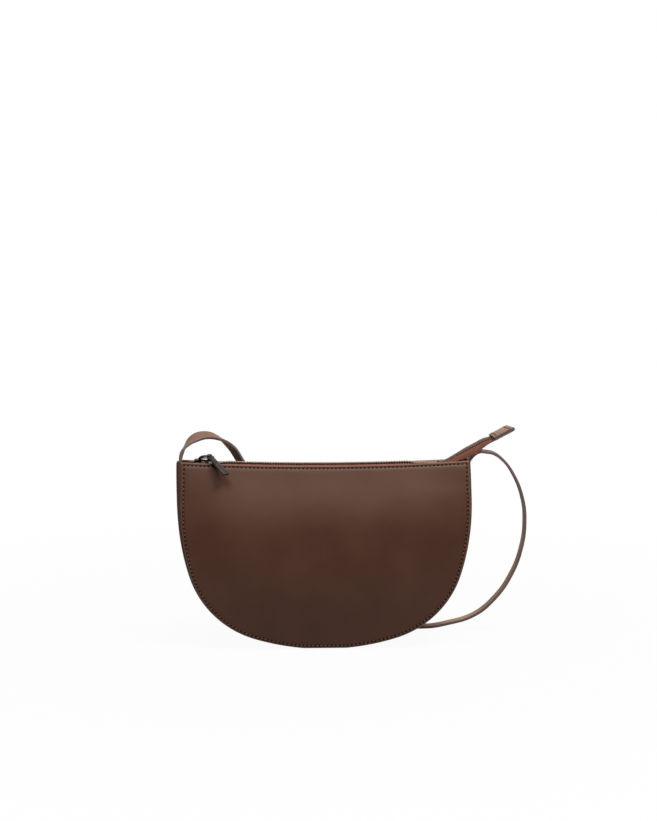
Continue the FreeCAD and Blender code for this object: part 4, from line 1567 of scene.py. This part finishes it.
# The needle holes' dark discs are painted shade.
for piece in (front_hole_shades, back_hole_shades):
    dress(piece, hole_shade_finish, "panel_leather", "shell")
dress(front_seam_tape, zip_cloth, "zip_tape", "shell", "front_zip_seam")
dress(back_seam_tape, zip_cloth, "zip_tape", "shell", "back_zip_seam")
print("panel in", front_panel.data.materials[0].name, "and gusset in", gusset.data.materials[0].name)

# %% Zip lips, their cords and their teeth
BEND_FULL_LEFT = -45.0
BEND_FULL_RIGHT = 30.0
SLIDER_PARK = 77.0
LIP_BENDS = ((TAPE_START, BEND_FULL_LEFT), (SLIDER_PARK, BEND_FULL_RIGHT))


def paint_cord_shade(tape):
    """Give the tape's cord a near-black finish, painted shade for the gaps between the teeth: its faces lie
    a cord's radius from its middle.
    """
    tape.data.materials.append(cord_shade_cloth)
    for face in tape.data.polygons:
        spot = face.center / MM
        across = abs(spot.y) - CORD_BEHIND
        above = spot.z - ZIP_HEIGHT - zip_rise(spot.x) - CORD_LIFT
        if math.hypot(across, above) < CORD_RADIUS:
            face.material_index = 1


for side, tapes, teeth in (("front", front_tapes, front_teeth), ("back", back_tapes, back_teeth)):
    for tape in tapes:
        dress(tape, zip_cloth, "zip_tape", None, side + "_zip_tape")
        paint_cord_shade(tape)
    for row in teeth:
        dress(row, zip_metal, "zip_metal", None, side + "_zip_teeth")
    for pieces in (tapes, teeth):
        for piece, (start, end) in zip(pieces, LIP_BENDS):
            at(start, 0.0, ZIP_HEIGHT)
            at(end, 0.0, ZIP_HEIGHT)
            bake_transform(piece)
    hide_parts(side + "_top_stop")
print("zip lips bend, mm:", LIP_BENDS)

# %% Tail, tab and strap
TAIL_BEND = 14.0
EDGE_FACING = 0.4
tail_bend_end = tail_spot(TAIL_BEND, 0.0, 0.0)
for piece, finish, slot, node in (
        (front_tail_tape, zip_cloth, "zip_tape", "front_tail_tape"),
        (back_tail_tape, zip_cloth, "zip_tape", "back_tail_tape"),
        (front_tail_teeth, tail_shade_metal, "zip_metal", "front_tail_teeth"),
        (back_tail_teeth, tail_shade_metal, "zip_metal", "back_tail_teeth")):
    dress(piece, finish, slot, None, node)
    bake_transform(piece)
dress(tab, tab_leather, "strap_leather", "tail", "zip_end_tab")
dress(tab_stitches, thread, "strap_leather", "tail")
dress(tab_hole_shades, hole_shade_finish, "strap_leather", "tail")
tab.data.materials.append(edge_paint)
for face in tab.data.polygons:
    face.material_index = int(abs(face.normal.y) > EDGE_FACING)
dress(strap_loop, strap_leather, "strap_leather", "strap", "shoulder_strap")
dress(left_root, strap_leather, "strap_leather", None, "left_strap_end")
dress(right_root, strap_leather, "strap_leather", None, "right_strap_end")


def paint_strap(piece, line, runs, frame_at):
    """Paint the cut edges, and give the inner side its rough finish."""
    piece.data.materials.append(edge_paint)
    piece.data.materials.append(strap_back)
    near = tree_of(line)
    for face in piece.data.polygons:
        spot, along, across = frame_at(runs[near.find(face.center)[1]])
        if abs(face.normal.dot(across)) > EDGE_FACING:
            face.material_index = 1
        elif face.normal.dot(along.cross(across)) < 0:
            face.material_index = 2


paint_strap(strap_loop, strap_line, strap_runs, strap_frame)
paint_strap(left_root, strap_line, strap_runs, strap_frame)
paint_strap(right_root, right_line, right_runs, right_frame)
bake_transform(left_root)
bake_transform(right_root)
dress(crown, pull_metal, "pull_metal", "slider")
dress(pull_ring, pull_metal, "pull_metal", "pull_link", "pull_ring")
dress(pull_bar, pull_metal, "pull_metal", "pull", "pull_bar")
for node, finish in (("slider_body", pull_metal), ("bottom_stop", zip_metal), ("front_stiffener", board),
                     ("back_stiffener", board), ("gusset_stiffener", board)):
    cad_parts[node].data.materials.clear()
    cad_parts[node].data.materials.append(finish)

# %% [markdown]
# ## Camera
# A short lens close by could frame the bag as well, but it would bend its lines. So the camera stands far
# off with a long lens, a little above the bag and a touch to its left.

# %% Camera
CAMERA_TURN = math.radians(-2.0)
CAMERA_RISE = math.radians(7.0)
CAMERA_DISTANCE = 1600.0
CAMERA_TARGET = Vector((3.6, 0.0, 200.0))
CAMERA_LENS = 103.1
SENSOR = 36.0
look = Vector((-math.sin(CAMERA_TURN) * math.cos(CAMERA_RISE),
               math.cos(CAMERA_TURN) * math.cos(CAMERA_RISE),
               -math.sin(CAMERA_RISE)))
camera_data = bpy.data.cameras.new("photo_camera")
camera_data.sensor_fit = "HORIZONTAL"
camera_data.sensor_width = SENSOR
camera_data.lens = CAMERA_LENS
camera = bpy.data.objects.new("photo_camera", camera_data)
bpy.context.scene.collection.objects.link(camera)
camera.location = (CAMERA_TARGET - look * CAMERA_DISTANCE) * MM
camera.rotation_euler = look.to_track_quat("-Z", "Y").to_euler()
bpy.context.scene.camera = camera
print("camera at", [round(value, 3) for value in camera.location])

# %% [markdown]
# ## Floor and backdrop
# The bag stands on white that has no edge. A bent paper sweep could give it, but its bend would show from
# other sides. So the floor is a pale disc that keeps a faint shadow near the bag and fades into the white
# background. This white is there for the eye and for reflections, and gives no light.

# %% Floor that fades into the background
FLOOR_RADIUS = 700.0
FLOOR_CLEAR = 0.15
KEEP_SHADOW = 0.055
FLOOR_GREY = 0.3
FLOOR_POINTS = 96
floor = add_primitive("floor", bpy.ops.mesh.primitive_circle_add, vertices=FLOOR_POINTS,
                      radius=FLOOR_RADIUS * MM, fill_type="NGON", location=at(0.0, 0.0, -FLOOR_CLEAR))
bpy.ops.object.transform_apply(location=True)
floor_finish = bpy.data.materials.new("pale_floor")
floor_finish.use_nodes = True
tree = Nodes(floor_finish.node_tree)
floor_finish.node_tree.nodes.remove(floor_finish.node_tree.nodes["Principled BSDF"])
floor_out = floor_finish.node_tree.nodes["Material Output"]
pale = tree.add("ShaderNodeBsdfDiffuse")
pale.inputs["Color"].default_value = grey(FLOOR_GREY)
white = tree.add("ShaderNodeEmission")
white.inputs["Color"].default_value = grey(1.0)
rays = tree.add("ShaderNodeLightPath")
spread = tree.add("ShaderNodeMapping")
spread.inputs["Scale"].default_value = (1.0 / (FLOOR_RADIUS * MM),) * 3
fade = tree.add("ShaderNodeTexGradient", gradient_type="SPHERICAL")
tree.wire(tree.add("ShaderNodeTexCoord").outputs["Object"], spread.inputs["Vector"])
tree.wire(spread.outputs["Vector"], fade.inputs["Vector"])
keep_shadow = tree.math("MULTIPLY", fade.outputs["Fac"], KEEP_SHADOW)
sharp = tree.math("MAXIMUM", rays.outputs["Is Glossy Ray"], rays.outputs["Is Transmission Ray"])
sharp = tree.math("MAXIMUM", rays.outputs["Is Camera Ray"], sharp)
glow = tree.math("MULTIPLY", sharp, tree.math("SUBTRACT", 1.0, keep_shadow))
blend_floor = tree.add("ShaderNodeMixShader")
tree.wire(glow, blend_floor.inputs[0])
tree.wire(pale.outputs[0], blend_floor.inputs[1])
tree.wire(white.outputs[0], blend_floor.inputs[2])
tree.wire(blend_floor.outputs[0], floor_out.inputs["Surface"])
floor.data.materials.append(floor_finish)
print("floor radius, mm:", FLOOR_RADIUS)

# %% World: white for the eye, softer for the light
AMBIENT = 0.14
FRONT_GLOW = 0.04
BACKDROP_START = -0.2
BACKDROP_FULL = 0.35
world = bpy.data.worlds.new("studio")
world.use_nodes = True
bpy.context.scene.world = world
sky = Nodes(world.node_tree)
background = world.node_tree.nodes["Background"]
sky_rays = sky.add("ShaderNodeLightPath")
direction = sky.add("ShaderNodeSeparateXYZ")
sky.wire(sky.add("ShaderNodeTexCoord").outputs["Generated"], direction.inputs[0])
backdrop = sky.add("ShaderNodeMapRange")
backdrop.inputs["From Min"].default_value = BACKDROP_START
backdrop.inputs["From Max"].default_value = BACKDROP_FULL
backdrop.inputs["To Min"].default_value = FRONT_GLOW
backdrop.inputs["To Max"].default_value = 1.0
sky.wire(direction.outputs["Y"], backdrop.inputs["Value"])
seen = sky.math("MAXIMUM", sky_rays.outputs["Is Camera Ray"], sky_rays.outputs["Is Transmission Ray"])
shine = sky.mix(sky_rays.outputs["Is Glossy Ray"], grey(AMBIENT), backdrop.outputs["Result"])
sky.wire(sky.mix(seen, shine, grey(1.0)), background.inputs["Color"])
print("world:", world.name)


# %% [markdown]
# ## Lamps
# One large lamp could light the bag, but the pull throws two soft shadows. So two soft lamps stand above
# and in front, left and right, with a weak strip on top and one lamp behind for the back, and the world
# fills in from all round.

# %% Lamps, placed by degrees and metres, with their power in watts
def soft_lamp(name, turn, rise, distance, width, height, watts):
    lamp_data = bpy.data.lights.new(name, "AREA")
    lamp_data.shape = "RECTANGLE"
    lamp_data.size = width
    lamp_data.size_y = height
    lamp_data.energy = watts
    lamp = bpy.data.objects.new(name, lamp_data)
    bpy.context.scene.collection.objects.link(lamp)
    turn, rise = math.radians(turn), math.radians(rise)
    way = Vector((math.sin(turn) * math.cos(rise), -math.cos(turn) * math.cos(rise), math.sin(rise)))
    middle = at(0.0, 0.0, BELLY_HEIGHT)
    lamp.location = middle + way * distance
    lamp.rotation_euler = (-way).to_track_quat("-Z", "Y").to_euler()
    return lamp


soft_lamp("right_softbox", turn=44.0, rise=60.0, distance=1.5, width=0.5, height=0.4,
          watts=28.0)
soft_lamp("left_softbox", turn=-30.0, rise=62.0, distance=1.5, width=0.9, height=0.6,
          watts=16.0)
soft_lamp("top_strip", turn=0.0, rise=70.0, distance=1.6, width=1.6, height=0.3,
          watts=4.0)
back_lamp = soft_lamp("back_softbox", turn=165.0, rise=24.0, distance=1.6, width=1.0, height=0.7,
                      watts=11.0)
back_lamp.visible_glossy = False
bpy.context.scene.view_settings.view_transform = "Standard"
print("lamps:", len(bpy.data.lights))
